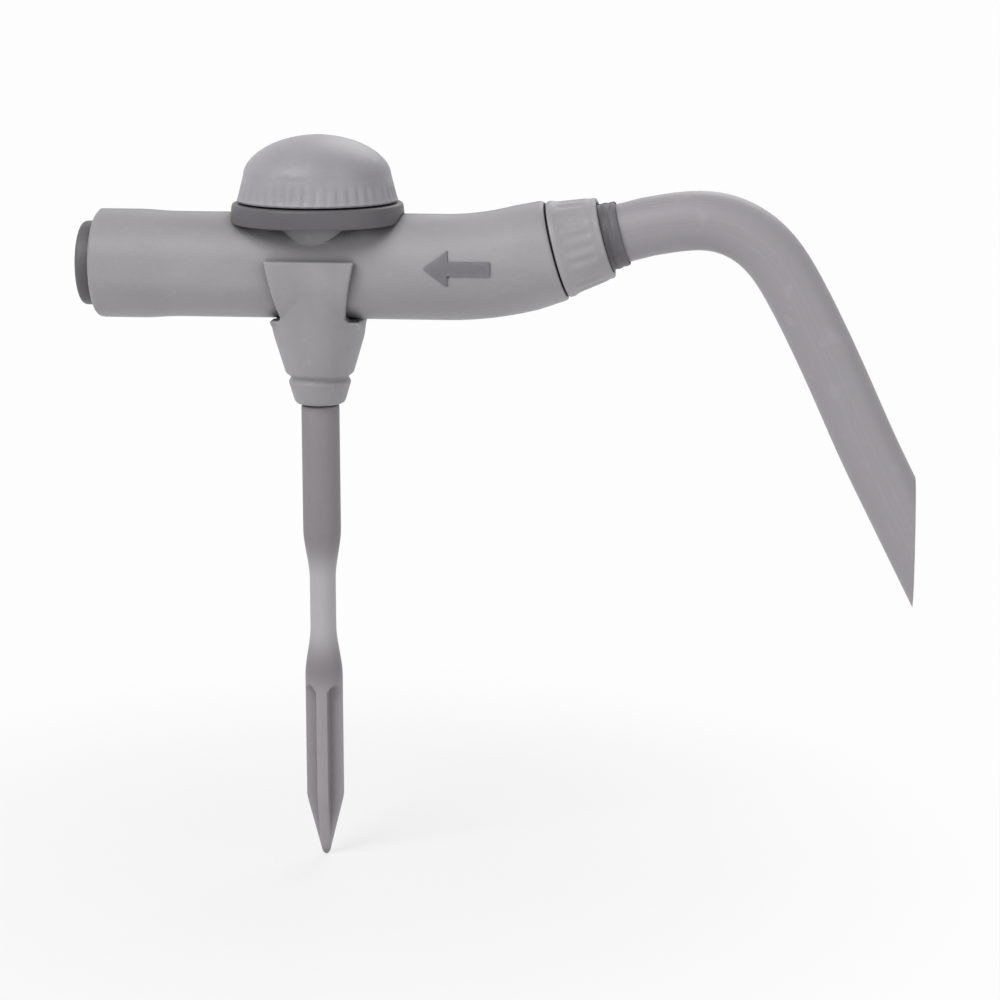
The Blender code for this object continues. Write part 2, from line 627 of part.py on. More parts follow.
def make_inlet(arm, strainer_plastic, plastic, rubber):
    outer = PASSAGE_RADIUS - FIT
    inner = outer - STRAINER_WALL
    low = INLET_FLOOR + FACE
    end = low - STRAINER_LENGTH
    cup = [
        (0.0, end),
        (outer, end),
        (outer, low),
        (INLET_BORE_RADIUS - FIT, low),
        (INLET_BORE_RADIUS - FIT, STRAINER_FACE),
        (inner, STRAINER_FACE),
        (inner, end + STRAINER_WALL),
        (0.0, end + STRAINER_WALL),
    ]
    strainer = piece("strainer", turned(cup, SMALL), arm, strainer_plastic)
    half = STRAINER_SLOT / 2
    first = end + 2 * STRAINER_WALL
    last = first + STRAINER_SLOTTED
    across = blocks(((-2 * outer, -half, first), (2 * outer, half, last)))
    boolean(strainer, piece("strainer_slots_side", across, arm))
    along = blocks(((-half, -2 * outer, first), (half, 2 * outer, last)))
    boolean(strainer, piece("strainer_slots_top", along, arm))
    groove = INSERT_RADIUS - INSERT_RING_DEPTH
    middle = INSERT_FOOT + INSERT_RING_PLACE
    tail_end = FLANGE_HIGH + BARB_TAIL
    step = BARB_TAIL / BARB_COUNT
    barbs = []
    for count in range(BARB_COUNT):
        base = FLANGE_HIGH + count * step
        barbs += [(BARB_ROOT_RADIUS, base), (BARB_ROOT_RADIUS, base + step / 2), (BARB_RADIUS, base + step / 2)]
    profile = [
        (BARB_BORE_RADIUS, INSERT_FOOT),
        (INSERT_RADIUS, INSERT_FOOT),
        (INSERT_RADIUS, middle - INSERT_GROOVE_WIDTH / 2),
        (groove, middle - INSERT_GROOVE_WIDTH / 2),
        (groove, middle + INSERT_GROOVE_WIDTH / 2),
        (INSERT_RADIUS, middle + INSERT_GROOVE_WIDTH / 2),
        (INSERT_RADIUS, FLANGE_LOW),
        (SPIGOT_RADIUS, FLANGE_LOW),
        (SPIGOT_RADIUS, FLANGE_HIGH),
        *barbs,
        (BARB_ROOT_RADIUS, tail_end),
        (BARB_BORE_RADIUS, tail_end),
    ]
    piece("inlet_barb", turned(profile, SMALL), arm, plastic)
    thickness = INLET_BORE_RADIUS - groove - FACE
    seal = ring_seal((INLET_BORE_RADIUS + groove) / 2, thickness, middle)
    piece("inlet_o_ring", seal, arm, rubber)


def make_coupling(arm, ring_plastic, nut_plastic):
    sleeve = [
        (GRIP_BORE_RADIUS, GRIP_LOW),
        (GRIP_FLANGE_RADIUS, GRIP_LOW),
        (GRIP_FLANGE_RADIUS, GRIP_STEP),
        (GRIP_SLEEVE_RADIUS, GRIP_STEP),
        (GRIP_SLEEVE_RADIUS, NUT_END),
        (GRIP_MOUTH_RADIUS, GRIP_END),
        (GRIP_BORE_RADIUS, GRIP_END),
    ]
    grip = piece("grip_ring", turned(sleeve, MEDIUM), arm, ring_plastic)
    half = GRIP_SPLIT / 2
    split = blocks(((-2 * SPIGOT_RADIUS, -half, GRIP_LOW - JOIN), (0.0, half, GRIP_END + JOIN)))
    boolean(grip, piece("grip_split", split, arm))
    lip = GRIP_SLEEVE_RADIUS + FIT
    nut = [
        (NUT_BORE_RADIUS, NUT_FOOT),
        (NUT_BASE_RADIUS - NUT_EDGE, NUT_FOOT),
        (NUT_BASE_RADIUS, NUT_FOOT + NUT_EDGE),
        (NUT_MOUTH_RADIUS, NUT_END - NUT_EDGE),
        (NUT_MOUTH_RADIUS - NUT_EDGE, NUT_END),
        (lip, NUT_END),
        (lip, LIP_LOW),
        (NUT_BORE_RADIUS, LIP_LOW),
    ]
    piece("lock_nut", turned(nut, FINE), arm, nut_plastic)


def spline_point(before, first, second, after, share):
    """A point of the smooth curve that passes through first and second."""
    square, cube = share * share, share * share * share
    return 0.5 * (2 * first + (second - before) * share
                  + (2 * before - 5 * first + 4 * second - after) * square
                  + (3 * first - before - 3 * second + after) * cube)


def tube_line(start, overrun):
    """The tube's middle line: straight out of the fitting, over the top and down."""
    along = Vector((cos(ARM_TILT), 0.0, sin(ARM_TILT)))
    corner = Vector((ARM_CORNER, 0.0, BARREL_Z))
    leave = corner + TUBE_STRAIGHT * along
    route = [leave - TUBE_STEP * along, leave, *(leave + MM * Vector(point) for point in TUBE_ROUTE)]
    route.append(2 * route[-1] - route[-2])
    line = [corner + start * along]
    for index in range(1, len(route) - 2):
        span = (route[index + 1] - route[index]).length
        steps = max(1, round(span / TUBE_STEP))
        line += [spline_point(*route[index - 1:index + 3], step / steps) for step in range(steps)]
    last = route[-2]
    line.append(last + overrun * (last - line[-1]).normalized())
    return line, leave


def tube_solid(name, line, radius):
    """A round bar along a line, as a closed mesh."""
    path = bpy.data.curves.new(name, "CURVE")
    path.dimensions = "3D"
    path.bevel_depth = radius
    path.bevel_resolution = TUBE_ROUNDING
    path.use_fill_caps = True
    spline = path.splines.new("POLY")
    spline.points.add(len(line) - 1)
    for point, place in zip(spline.points, line):
        point.co = (*place, 1.0)
    guide = bpy.data.objects.new(name + "_path", path)
    shape = bmesh.new()
    shape.from_mesh(guide.to_mesh())
    guide.to_mesh_clear()
    bpy.data.objects.remove(guide)
    bmesh.ops.remove_doubles(shape, verts=shape.verts, dist=MERGE)
    return shape


def make_tube(vinyl):
    line, leave = tube_line(TUBE_START, 0.0)
    tube = piece("supply_tube", tube_solid("supply_tube", line, TUBE_RADIUS), None, vinyl)
    bore_line, _ = tube_line(TUBE_START - JOIN, TUBE_OVERRUN)
    boolean(tube, piece("tube_bore", tube_solid("tube_bore", bore_line, TUBE_BORE_RADIUS), None))
    cut = leave.x + TUBE_CUT
    far = 10 * TUBE_RADIUS
    end = blocks(((cut, leave.y - far, 0.0), (cut + far, leave.y + far, leave.z)))
    boolean(tube, piece("tube_end_cut", end, None))


def main():
    clear_scene()
    body = finish("moulded_grey", (0.36, 0.35, 0.365), 0.5)
    pale = finish("knob_grey", (0.38, 0.37, 0.39), 0.45)
    dark = finish("dark_grey", (0.10, 0.095, 0.105), 0.5)
    spike = finish("stake_grey", (0.22, 0.21, 0.22), 0.6)
    vinyl = finish("tube_vinyl", (0.33, 0.32, 0.335), 0.4)
    acetal = finish("white_acetal", (0.78, 0.77, 0.74), 0.35)
    rubber = finish("seal_rubber", (0.03, 0.03, 0.032), 0.7)
    base = frame("stake_base", (0.0, 0.0, 0.0))
    head = frame("head_axis", (0.0, 0.0, BARREL_Z))
    closed_end = frame("closed_end_axis", (-CLOSED_END, 0.0, BARREL_Z), (0.0, -pi / 2, 0.0))
    arm = frame("inlet_axis", (ARM_CORNER, 0.0, BARREL_Z), (0.0, pi / 2 - ARM_TILT, 0.0))
    make_stake(base, spike)
    make_saddle(head, body)
    make_barrel(head, closed_end, arm, body)
    make_outlet(head, acetal, rubber)
    make_needle(head, acetal)
    make_bonnet(head, dark, acetal, rubber)
    make_knob(head, pale, acetal)
    make_plug(closed_end, dark, rubber)
    make_inlet(arm, acetal, body, rubber)
    make_coupling(arm, dark, body)
    make_tube(vinyl)


main()
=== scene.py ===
"""Looks for an adjustable drip emitter on a ground stake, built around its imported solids.

Everything is in metres in the part's own frame: +Z up the stake, the barrel along X, the viewer at -Y.
"""

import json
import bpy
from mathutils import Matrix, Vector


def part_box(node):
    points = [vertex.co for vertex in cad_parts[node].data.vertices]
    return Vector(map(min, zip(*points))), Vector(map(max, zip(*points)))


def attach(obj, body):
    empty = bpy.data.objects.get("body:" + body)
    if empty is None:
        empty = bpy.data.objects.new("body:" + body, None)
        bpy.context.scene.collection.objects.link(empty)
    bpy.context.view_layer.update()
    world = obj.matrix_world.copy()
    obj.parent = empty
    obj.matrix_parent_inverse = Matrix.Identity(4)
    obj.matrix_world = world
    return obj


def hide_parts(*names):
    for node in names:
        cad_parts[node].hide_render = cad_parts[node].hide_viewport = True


bl_info = {
    "name": "Drip emitter looks",
    "version": (1, 0, 0),
    "blender": (4, 5, 0),
    "location": "3D View > Sidebar > Emitter",
    "description": "Builds the fine surfaces, finishes and studio of a drip emitter on a ground stake",
    "category": "Object",
}

from math import asin, atan2, cos, hypot, pi, radians, sin, tan

import bmesh
import bpy
from bpy.props import FloatProperty, FloatVectorProperty, IntProperty, PointerProperty
from mathutils import Matrix, Vector

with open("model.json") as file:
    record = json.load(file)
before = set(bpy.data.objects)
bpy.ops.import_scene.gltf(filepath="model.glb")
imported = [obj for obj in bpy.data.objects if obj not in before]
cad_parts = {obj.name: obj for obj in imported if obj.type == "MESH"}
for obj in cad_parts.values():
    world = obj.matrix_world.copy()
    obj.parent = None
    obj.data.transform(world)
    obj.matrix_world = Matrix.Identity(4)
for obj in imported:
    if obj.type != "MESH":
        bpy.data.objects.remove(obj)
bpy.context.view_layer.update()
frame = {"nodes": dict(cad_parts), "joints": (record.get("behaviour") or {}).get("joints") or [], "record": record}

MM = 0.001
TINY = 0.000001

# Facets round a turned piece, a small one, a fine bore, the barrel, the tube and the stake
ROUND = 128
SMALL_ROUND = 96
FINE_ROUND = 72
BARREL_SIDES = 144
TUBE_SIDES = 56
STAKE_SIDES = 120
# Steps round an eased corner of a profile
EASE_STEPS = 6

# Directions, and how a finish's clouds are drawn out along X or Z
AHEAD = Vector((1.0, 0.0, 0.0))
ACROSS = Vector((0.0, 1.0, 0.0))
EVEN_FLOW = (1.0, 1.0, 1.0)
UP_FLOW = (1.0, 1.0, 0.5)
STAKE_FLOW = (1.0, 1.0, 0.35)
SADDLE_FLOW = (1.0, 1.0, 0.4)
BARREL_FLOW = (0.35, 1.0, 1.0)

# Patterns of moulded plastic: how many spots lie in a metre, and how deep or far they go
CLOUDS = 130.0
FLECKS = 1300.0
GRAIN = 3000.0
GRAIN_DEPTH = 0.06 * MM
# How far painted shade reaches into corners, and how far rubbed edges reach
CORNER_SHADE_REACH = 1.8 * MM
EDGE_REACH = 0.35 * MM

# The stage: the backdrop's white, the floor and how far its shade reaches, and the lamps
WHITE = (0.985, 0.985, 0.985, 1.0)
FLOOR_REACH = 2.5
FLOOR_GAP = 0.05 * MM
SHADE_NEAR = 0.015
SHADE_FAR = 0.09
# Each lamp's name, place from the aim, size and power
LAMPS = (
    ("key_lamp", (-0.28, -0.34, 0.42), 0.34, 1.9),
    ("fill_lamp", (0.46, -0.36, 0.16), 0.40, 0.55),
    ("back_lamp", (0.10, 0.46, 0.40), 0.36, 0.8),
)

# Places of the frame's main axes
JOINTS = {joint["name"]: joint for joint in frame["joints"]}
NUT_PIVOT = Vector(JOINTS["nut_turn"]["pos_m"])
ARM_ALONG = Vector(JOINTS["nut_turn"]["axis"]).normalized()
ARM_TILT = asin(ARM_ALONG.z)
BARREL_Z = NUT_PIVOT.z
ARM_CORNER = NUT_PIVOT.x
CLOSED_END_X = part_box("barrel")[0].x
HEAD = Matrix.Translation((0.0, 0.0, BARREL_Z))
CLOSED_END = Matrix.Translation((CLOSED_END_X, 0.0, BARREL_Z)) @ Matrix.Rotation(-pi / 2, 4, "Y")
ARM = Matrix.Translation(NUT_PIVOT) @ Matrix.Rotation(pi / 2 - ARM_TILT, 4, "Y")
BASE = Matrix.Identity(4)
LYING = Matrix.Rotation(pi / 2, 4, "Y")

# The tube's line: its straight stretch in the fitting, its steps, the rings at its cut and its smoothing
TUBE_STRAIGHT = 18.0 * MM
STRAIGHT_STEPS = 8
TUBE_STEP = 0.8 * MM
TUBE_TAIL = 10
LINE_SMOOTHING = 14
# The tube's route, in millimetres from where it leaves the straight of the fitting
TUBE_ROUTE = (
    (6.4, -0.2, 1.0),
    (10.0, -0.7, 0.0),
    (13.5, -1.4, -2.6),
    (17.1, -2.4, -8.7),
    (20.6, -3.5, -15.7),
    (24.0, -4.7, -23.0),
    (27.7, -5.9, -30.1),
    (31.5, -7.1, -37.2),
    (35.4, -8.4, -44.6),
)


class TubeSettings(bpy.types.PropertyGroup):
    """Sizes and colour of the supply tube"""

    radius: FloatProperty(name="Radius", description="Outside radius of the supply tube",
                          default=3.175 * MM, unit="LENGTH", precision=6)
    wall: FloatProperty(name="Wall", description="Thickness of the tube's wall",
                        default=1.025 * MM, unit="LENGTH", precision=6)
    start: FloatProperty(name="Start", description="From the arm's corner to the tube's hidden end",
                         default=11.3 * MM, unit="LENGTH", precision=6)
    mouth: FloatProperty(name="Mouth", description="From the arm's corner to where the tube shows",
                         default=15.2 * MM, unit="LENGTH", precision=6)
    cut: FloatProperty(name="Cut", description="Where the upright cut ends the tube along X",
                       default=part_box("supply_tube")[1].x, unit="LENGTH", precision=6)
    colour: FloatVectorProperty(name="Vinyl", description="Colour of the tube", subtype="COLOR",
                                default=(0.352, 0.335, 0.356))


class StakeSettings(bpy.types.PropertyGroup):
    """Sizes and colours of the ground stake"""

    radius: FloatProperty(name="Radius", description="Radius of the stake's shank and spear",
                          default=2.1 * MM, unit="LENGTH", precision=6)
    tip: FloatProperty(name="Tip", description="Radius of the blunt point",
                       default=0.35 * MM, unit="LENGTH", precision=6)
    waist: FloatProperty(name="Waist", description="Radius of the slim waist",
                         default=1.45 * MM, unit="LENGTH", precision=6)
    tenon: FloatProperty(name="Tenon", description="Radius of the tenon in the saddle",
                         default=1.6 * MM, unit="LENGTH", precision=6)
    fin: FloatProperty(name="Fin", description="Thickness of the fins",
                       default=1.2 * MM, unit="LENGTH", precision=6)
    shoulder: FloatProperty(name="Shoulder", description="Height that the head turns on",
                            default=JOINTS["head_swivel"]["pos_m"][2], unit="LENGTH", precision=6)
    colour: FloatVectorProperty(name="Stake", description="Colour of the stake", subtype="COLOR",
                                default=(0.262, 0.246, 0.262))
    waist_colour: FloatVectorProperty(name="Thin plastic", subtype="COLOR",
                                      description="Paler colour where the waist is thin",
                                      default=(0.515, 0.495, 0.515))
    # Painted light: the spear is paler so that its fluted faces, which get less light, do not read darker.
    spear_lit_colour: FloatVectorProperty(name="Spear", subtype="COLOR",
                                      description="Colour of the spear, which soil has scoured",
                                      default=(0.370, 0.348, 0.369))


class HeadSettings(bpy.types.PropertyGroup):
    """Sizes, counts and colours of the head"""

    radius: FloatProperty(name="Barrel", description="Outside radius of the barrel",
                          default=5.7 * MM, unit="LENGTH", precision=6)
    bore: FloatProperty(name="Bore", description="Radius of the barrel's bore",
                        default=4.4 * MM, unit="LENGTH", precision=6)
    saddle_width: FloatProperty(name="Saddle", description="Width of the clip along the barrel",
                                default=9.8 * MM, unit="LENGTH", precision=6)
    seam: FloatProperty(name="Seam", description="How far the mould's seam stands up",
                        default=0.09 * MM, unit="LENGTH", precision=6)
    scallops: IntProperty(name="Scallops", description="Shallow grips round the knob's skirt",
                          default=44, min=8)
    nut_flutes: IntProperty(name="Flutes", description="Shallow flutes round the lock nut",
                            default=22, min=6)
    moulded: FloatVectorProperty(name="Moulded", description="Colour of the barrel, saddle and nut",
                                 subtype="COLOR", default=(0.356, 0.346, 0.360))
    knob: FloatVectorProperty(name="Knob", description="Colour of the flow knob", subtype="COLOR",
                              default=(0.372, 0.360, 0.384))
    dark: FloatVectorProperty(name="Dark", description="Colour of the bonnet, plug and grip ring",
                              subtype="COLOR", default=(0.120, 0.115, 0.124))
    acetal: FloatVectorProperty(name="Acetal", description="Colour of the valve's inner pieces",
                                subtype="COLOR", default=(0.78, 0.77, 0.74))
    rubber: FloatVectorProperty(name="Rubber", description="Colour of the seals", subtype="COLOR",
                                default=(0.030, 0.030, 0.032))


class StageSettings(bpy.types.PropertyGroup):
    """Camera and light"""

    azimuth: FloatProperty(name="Azimuth", description="How far the camera stands round to the right",
                           default=radians(6), subtype="ANGLE")
    elevation: FloatProperty(name="Elevation", description="How far the camera looks down",
                             default=radians(12), subtype="ANGLE")
    distance: FloatProperty(name="Distance", description="From the camera to its aim", default=0.305,
                            unit="LENGTH")
    lens: FloatProperty(name="Lens", description="Focal length in millimetres", default=99.6)
    aim: FloatVectorProperty(name="Aim", description="Point at the middle of the picture",
                             subtype="TRANSLATION", default=(0.0199, 0.0, 0.0416), precision=5)
    floor: FloatVectorProperty(name="Floor", description="Colour of the floor", subtype="COLOR",
                               default=(0.86, 0.86, 0.87))
    sky: FloatProperty(name="Sky", description="Strength of the even light all round", default=0.36)


class Signal:
    """One output of a shader node, so that sums on it read as plain Python."""

    def __init__(self, finish, socket):
        self.finish = finish
        self.socket = socket

    def __add__(self, other):
        return self.finish.sum("ADD", self, other)

    def __radd__(self, other):
        return self.finish.sum("ADD", other, self)

    def __sub__(self, other):
        return self.finish.sum("SUBTRACT", self, other)

    def __rsub__(self, other):
        return self.finish.sum("SUBTRACT", other, self)

    def __mul__(self, other):
        return self.finish.sum("MULTIPLY", self, other)

    def __rmul__(self, other):
        return self.finish.sum("MULTIPLY", other, self)


def pick(sockets, key):
    """A socket by its place, its identifier or its name."""
    if isinstance(key, int):
        return sockets[key]
    for socket in sockets:
        if socket.identifier == key:
            return socket
    return sockets[key]


class Finish:
    """A node tree in the making, of a material or of the world."""

    def __init__(self, owner):
        self.owner = owner
        owner.use_nodes = True
        self.tree = owner.node_tree
        self.tree.nodes.clear()

    def node(self, kind, settings, inputs, output=0):
        """Any node: its type, its settings, then the values or links of its sockets."""
        made = self.tree.nodes.new(kind)
        for key, value in settings.items():
            setattr(made, key, value)
        for key, value in inputs.items():
            socket = pick(made.inputs, key)
            if isinstance(value, Signal):
                self.tree.links.new(value.socket, socket)
            else:
                socket.default_value = value
        return Signal(self, pick(made.outputs, output)) if made.outputs else None

    def sum(self, operation, first, second):
        """Two values put together by one sum."""
        return self.node("ShaderNodeMath", {"operation": operation}, {0: first, 1: second})

    def place(self, kind="Object"):
        """Where a point lies on its piece."""
        return self.node("ShaderNodeTexCoord", {}, {}, kind)

    def stretched(self, place, scale):
        """A place scaled by its own share along each axis."""
        return self.node("ShaderNodeVectorMath", {"operation": "MULTIPLY"}, {0: place, 1: scale})

    def part_of(self, place, axis):
        """One coordinate of a place."""
        return self.node("ShaderNodeSeparateXYZ", {}, {"Vector": place}, axis)

    def noise(self, place, scale, detail):
        """An uneven pattern from 0 to 1."""
        inputs = {"Vector": place, "Scale": scale, "Detail": detail}
        return self.node("ShaderNodeTexNoise", {}, inputs, "Fac")

    def between(self, value, low, high):
        """A value's smooth share of the way from low to high."""
        inputs = {"Value": value, "From Min": low, "From Max": high}
        return self.node("ShaderNodeMapRange", {"interpolation_type": "SMOOTHSTEP"}, inputs)

    def mixed(self, share, first, second):
        """A colour between two colours."""
        inputs = {"Factor_Float": share, "A_Color": first, "B_Color": second}
        return self.node("ShaderNodeMix", {"data_type": "RGBA"}, inputs, "Result_Color")

    def bump(self, height, depth):
        """Fine relief of a pattern, at most as deep as given."""
        return self.node("ShaderNodeBump", {}, {"Height": height, "Strength": 1.0, "Distance": depth})

    def openness(self, reach):
        """1 on open faces, less in corners and gaps narrower than the reach."""
        return self.node("ShaderNodeAmbientOcclusion", {"samples": 8}, {"Distance": reach}, "AO")

    def ridges(self, reach):
        """0 on flats and in corners, up to 1 on edges that stand out."""
        settings = {"samples": 8, "inside": True, "only_local": True}
        return 1 - self.node("ShaderNodeAmbientOcclusion", settings, {"Distance": reach}, "AO")

    def shown(self):
        """1 where the camera sees a surface, also in a gloss or clear piece, and 0 where it only lights."""
        path = self.node("ShaderNodeLightPath", {}, {}, "Is Camera Ray")
        for kind in ("Is Glossy Ray", "Is Transmission Ray"):
            path = self.sum("MAXIMUM", path, self.node("ShaderNodeLightPath", {}, {}, kind))
        return path

    def surface(self, inputs):
        """Ends a material in one Principled shader."""
        shader = self.node("ShaderNodeBsdfPrincipled", {}, inputs)
        self.node("ShaderNodeOutputMaterial", {}, {"Surface": shader})
        return self.owner


def shade(colour, share):
    """A colour made darker or paler."""
    return (*(min(1.0, part * share) for part in colour), 1.0)


def new_finish(name):
    """An empty material under a plain name."""
    return Finish(bpy.data.materials.new(name))


def moulded(name, colour, roughness, flow, bands=(), painted_shade=0.65):
    """Moulded plastic: clouds along the flow, flecks, fine grain, painted shade in corners and rubbed edges.

    Each band is a stretch of heights in another shade: (low, high, blend, colour)."""
    made = new_finish(name)
    place = made.place()
    cloud = made.noise(made.stretched(place, flow), CLOUDS, 4.0)
    fleck = made.noise(place, FLECKS, 3.0)
    grain = made.noise(place, GRAIN, 2.0)
    body = made.mixed(made.between(cloud, 0.28, 0.72), shade(colour, 0.89), shade(colour, 1.08))
    for low, high, blend, tint in bands:
        height = made.part_of(place, "Z")
        above = made.between(height, low - blend, low + blend)
        below = 1 - made.between(height, high - blend, high + blend)
        body = made.mixed(above * below * (0.75 + 0.25 * cloud), body, shade(tint, 1.0))
    body = made.mixed(made.between(fleck, 0.60, 0.78) * 0.22, body, shade(colour, 1.35))
    # Painted shade: darker in corners, gaps and beside steps narrower than the reach, where less light gets in.
    corners = made.between(1 - made.openness(CORNER_SHADE_REACH), 0.05, 0.60)
    body = made.mixed(corners * painted_shade, body, shade(colour, 0.30))
    rubbed = made.between(made.ridges(EDGE_REACH), 0.08, 0.55)
    body = made.mixed(rubbed * (0.10 + 0.60 * fleck), body, shade(colour, 1.55))
    rough = roughness + (cloud - 0.5) * 0.14 + (fleck - 0.5) * 0.10
    relief = made.bump(grain * 0.65 + fleck * 0.35, GRAIN_DEPTH)
    inputs = {"Base Color": body, "Roughness": rough, "Normal": relief, "Specular IOR Level": 0.4}
    return made.surface(inputs)


def soft_vinyl(name, colour):
    """Extruded tube: faint drawn lines along it, a soft skin, scuffs and painted shade in corners and gaps."""
    made = new_finish(name)
    route = made.place("UV")
    place = made.place()
    lines = made.noise(made.stretched(route, (90.0, 1.2, 1.0)), 1.0, 3.0)
    scuff = made.noise(place, 420.0, 5.0)
    fleck = made.noise(place, 1900.0, 2.0)
    body = made.mixed(made.between(lines, 0.30, 0.70), shade(colour, 0.92), shade(colour, 1.06))
    body = made.mixed(made.between(scuff, 0.56, 0.74) * 0.30, body, shade(colour, 1.28))
    # Painted shade: darker where corners and gaps narrower than 2.2 mm shut out light.
    body = made.mixed((1 - made.openness(2.2 * MM)) * 0.7, body, shade(colour, 0.30))
    rough = 0.36 + scuff * 0.16 + (lines - 0.5) * 0.10
    relief = made.bump(lines * 0.6 + fleck * 0.4, 0.03 * MM)
    inputs = {"Base Color": body, "Roughness": rough, "Normal": relief, "Specular IOR Level": 0.45}
    return made.surface({**inputs, "Subsurface Weight": 0.12, "Subsurface Scale": 0.6 * MM})


def natural_acetal(name, colour):
    """Milky turned plastic with fine turning rings and painted shade in corners and gaps."""
    made = new_finish(name)
    place = made.place()
    rings = made.noise(made.stretched(place, (0.2, 0.2, 1.0)), 5200.0, 2.0)
    cloud = made.noise(place, 380.0, 3.0)
    body = made.mixed(cloud, shade(colour, 0.93), shade(colour, 1.04))
    # Painted shade: darker where corners and gaps narrower than 0.8 mm shut out light.
    body = made.mixed((1 - made.openness(0.8 * MM)) * 0.5, body, shade(colour, 0.45))
    rough = 0.30 + rings * 0.14
    return made.surface({"Base Color": body, "Roughness": rough, "Normal": made.bump(rings, 0.015 * MM)})


def seal_rubber(name, colour):
    """Nitrile rubber with a dusty bloom."""
    made = new_finish(name)
    place = made.place()
    bloom = made.noise(place, 900.0, 4.0)
    grain = made.noise(place, 5600.0, 2.0)
    body = made.mixed(made.between(bloom, 0.45, 0.75), shade(colour, 0.85), shade(colour, 2.1))
    rough = 0.60 + bloom * 0.2
    return made.surface({"Base Color": body, "Roughness": rough, "Normal": made.bump(grain, 0.02 * MM)})


def in_metres(points):
    """Points written in millimetres, in metres."""
    return [tuple(part * MM for part in point) for point in points]


def eased(points):
    """Rounds a profile's corners. Each point is (radius, height, how far back the rounding starts)."""
    count = len(points)
    made = []
    for index, (radius, height, ease) in enumerate(points):
        here = Vector((radius, height))
        if ease == 0.0:
            made.append((radius, height))
            continue
        before = Vector(points[index - 1][:2]) - here
        after = Vector(points[(index + 1) % count][:2]) - here
        first = here + before.normalized() * min(ease, 0.48 * before.length)
        last = here + after.normalized() * min(ease, 0.48 * after.length)
        for step in range(EASE_STEPS + 1):
            share = step / EASE_STEPS
            point = first.lerp(here, share).lerp(here.lerp(last, share), share)
            made.append((point.x, point.y))
    return made


def resampled(profile, step):
    """A closed profile with its long sides broken up, so that a ripple can follow them."""
    made = []
    for first, second in zip(profile, profile[1:] + profile[:1]):
        made.append(first)
        pieces = int(hypot(second[0] - first[0], second[1] - first[1]) / step)
        made += [(first[0] + (second[0] - first[0]) * piece / (pieces + 1),
                  first[1] + (second[1] - first[1]) * piece / (pieces + 1))
                 for piece in range(1, pieces + 1)]
    return made


def bridge(shape, first, second):
    """Faces between two rings, either of which may be a single point on the axis."""
    count = max(len(first), len(second))
    if count == 1:
        return
    for step in range(count):
        following = (step + 1) % count
        corners = [
            first[step % len(first)],
            first[following % len(first)],
            second[following % len(second)],
            second[step % len(second)],
        ]
        shape.faces.new(list(dict.fromkeys(corners)))


def turned(profile, sides=ROUND, ripple=None):
    """A profile of (radius, height) turned about local Z. Ripple gives a change of radius."""
    shape = bmesh.new()
    rings = []
    for radius, height in profile:
        if radius < TINY:
            rings.append([shape.verts.new((0.0, 0.0, height))])
            continue
        ring = []
        for step in range(sides):
            angle = 2 * pi * step / sides
            reach = radius + (ripple(angle, radius, height) if ripple else 0.0)
            ring.append(shape.verts.new((reach * cos(angle), reach * sin(angle), height)))
        rings.append(ring)
    for first, second in zip(rings, rings[1:]):
        bridge(shape, first, second)
    bridge(shape, rings[-1], rings[0])
    return shape


def rod(radius, low, high, sides=ROUND, bands=1):
    """A bar about local Z. Bands up its side keep the faces small where another shape cuts it."""
    side = [(radius, low + (high - low) * step / bands) for step in range(bands + 1)]
    return turned([(0.0, low), *side, (0.0, high)], sides)


def block(low, high):
    """A box from its lowest and highest corner."""
    low, high = Vector(low), Vector(high)
    shape = bmesh.new()
    grown = Matrix.Translation((low + high) / 2) @ Matrix.Diagonal((*(high - low), 1.0))
    bmesh.ops.create_cube(shape, size=1.0, matrix=grown)
    return shape


def slab(outline, near, far):
    """A flat outline of (x, z) made thick along Y."""
    return loft([[(x, y, z) for x, z in outline] for y in (near, far)])


def placed(shape, matrix):
    """A shape moved to another place."""
    bmesh.ops.transform(shape, matrix=matrix, verts=shape.verts)
    return shape


def loft(rings, capped=True):
    """Rings of points joined into a skin, closed at both ends if capped."""
    shape = bmesh.new()
    made = [[shape.verts.new(point) for point in ring] for ring in rings]
    for first, second in zip(made, made[1:]):
        bridge(shape, first, second)
    if capped:
        shape.faces.new(made[0])
        shape.faces.new(made[-1])
    return shape


def as_object(name, shape, place):
    """A loose shape as an object of the scene. The shape itself goes."""
    bmesh.ops.recalc_face_normals(shape, faces=shape.faces)
    mesh = bpy.data.meshes.new(name)
    shape.to_mesh(mesh)
    shape.free()
    made = bpy.data.objects.new(name, mesh)
    bpy.context.scene.collection.objects.link(made)
    made.matrix_world = place
    return made


def as_shape(made):
    """A finished object's mesh as a loose shape. The object itself goes."""
    shape = bmesh.new()
    shape.from_mesh(made.data)
    bpy.data.objects.remove(made, do_unlink=True)
    return shape


def baked(made, tools=()):
    """Makes a piece's modifiers part of its mesh, and removes the shapes that they used."""
    bpy.context.view_layer.update()
    graph = bpy.context.evaluated_depsgraph_get()
    mesh = bpy.data.meshes.new_from_object(made.evaluated_get(graph))
    made.modifiers.clear()
    made.data = mesh
    for tool in tools:
        bpy.data.objects.remove(tool, do_unlink=True)
    return made


def carved(made, steps, edge=0.0):
    """Joins and cuts a piece with other shapes in its own place, then eases its sharp edges."""
    tools = []
    for operation, shape in steps:
        tool = as_object(made.name + "_tool", shape, made.matrix_world)
        change = made.modifiers.new(operation.lower(), "BOOLEAN")
        change.object = tool
        change.operation = operation
        change.solver = "EXACT"
        tools.append(tool)
    if edge:
        ease = made.modifiers.new("edges", "BEVEL")
        ease.width = edge
        ease.segments = 2
        ease.limit_method = "ANGLE"
        ease.angle_limit = radians(40)
        ease.harden_normals = False
    return baked(made, tools)


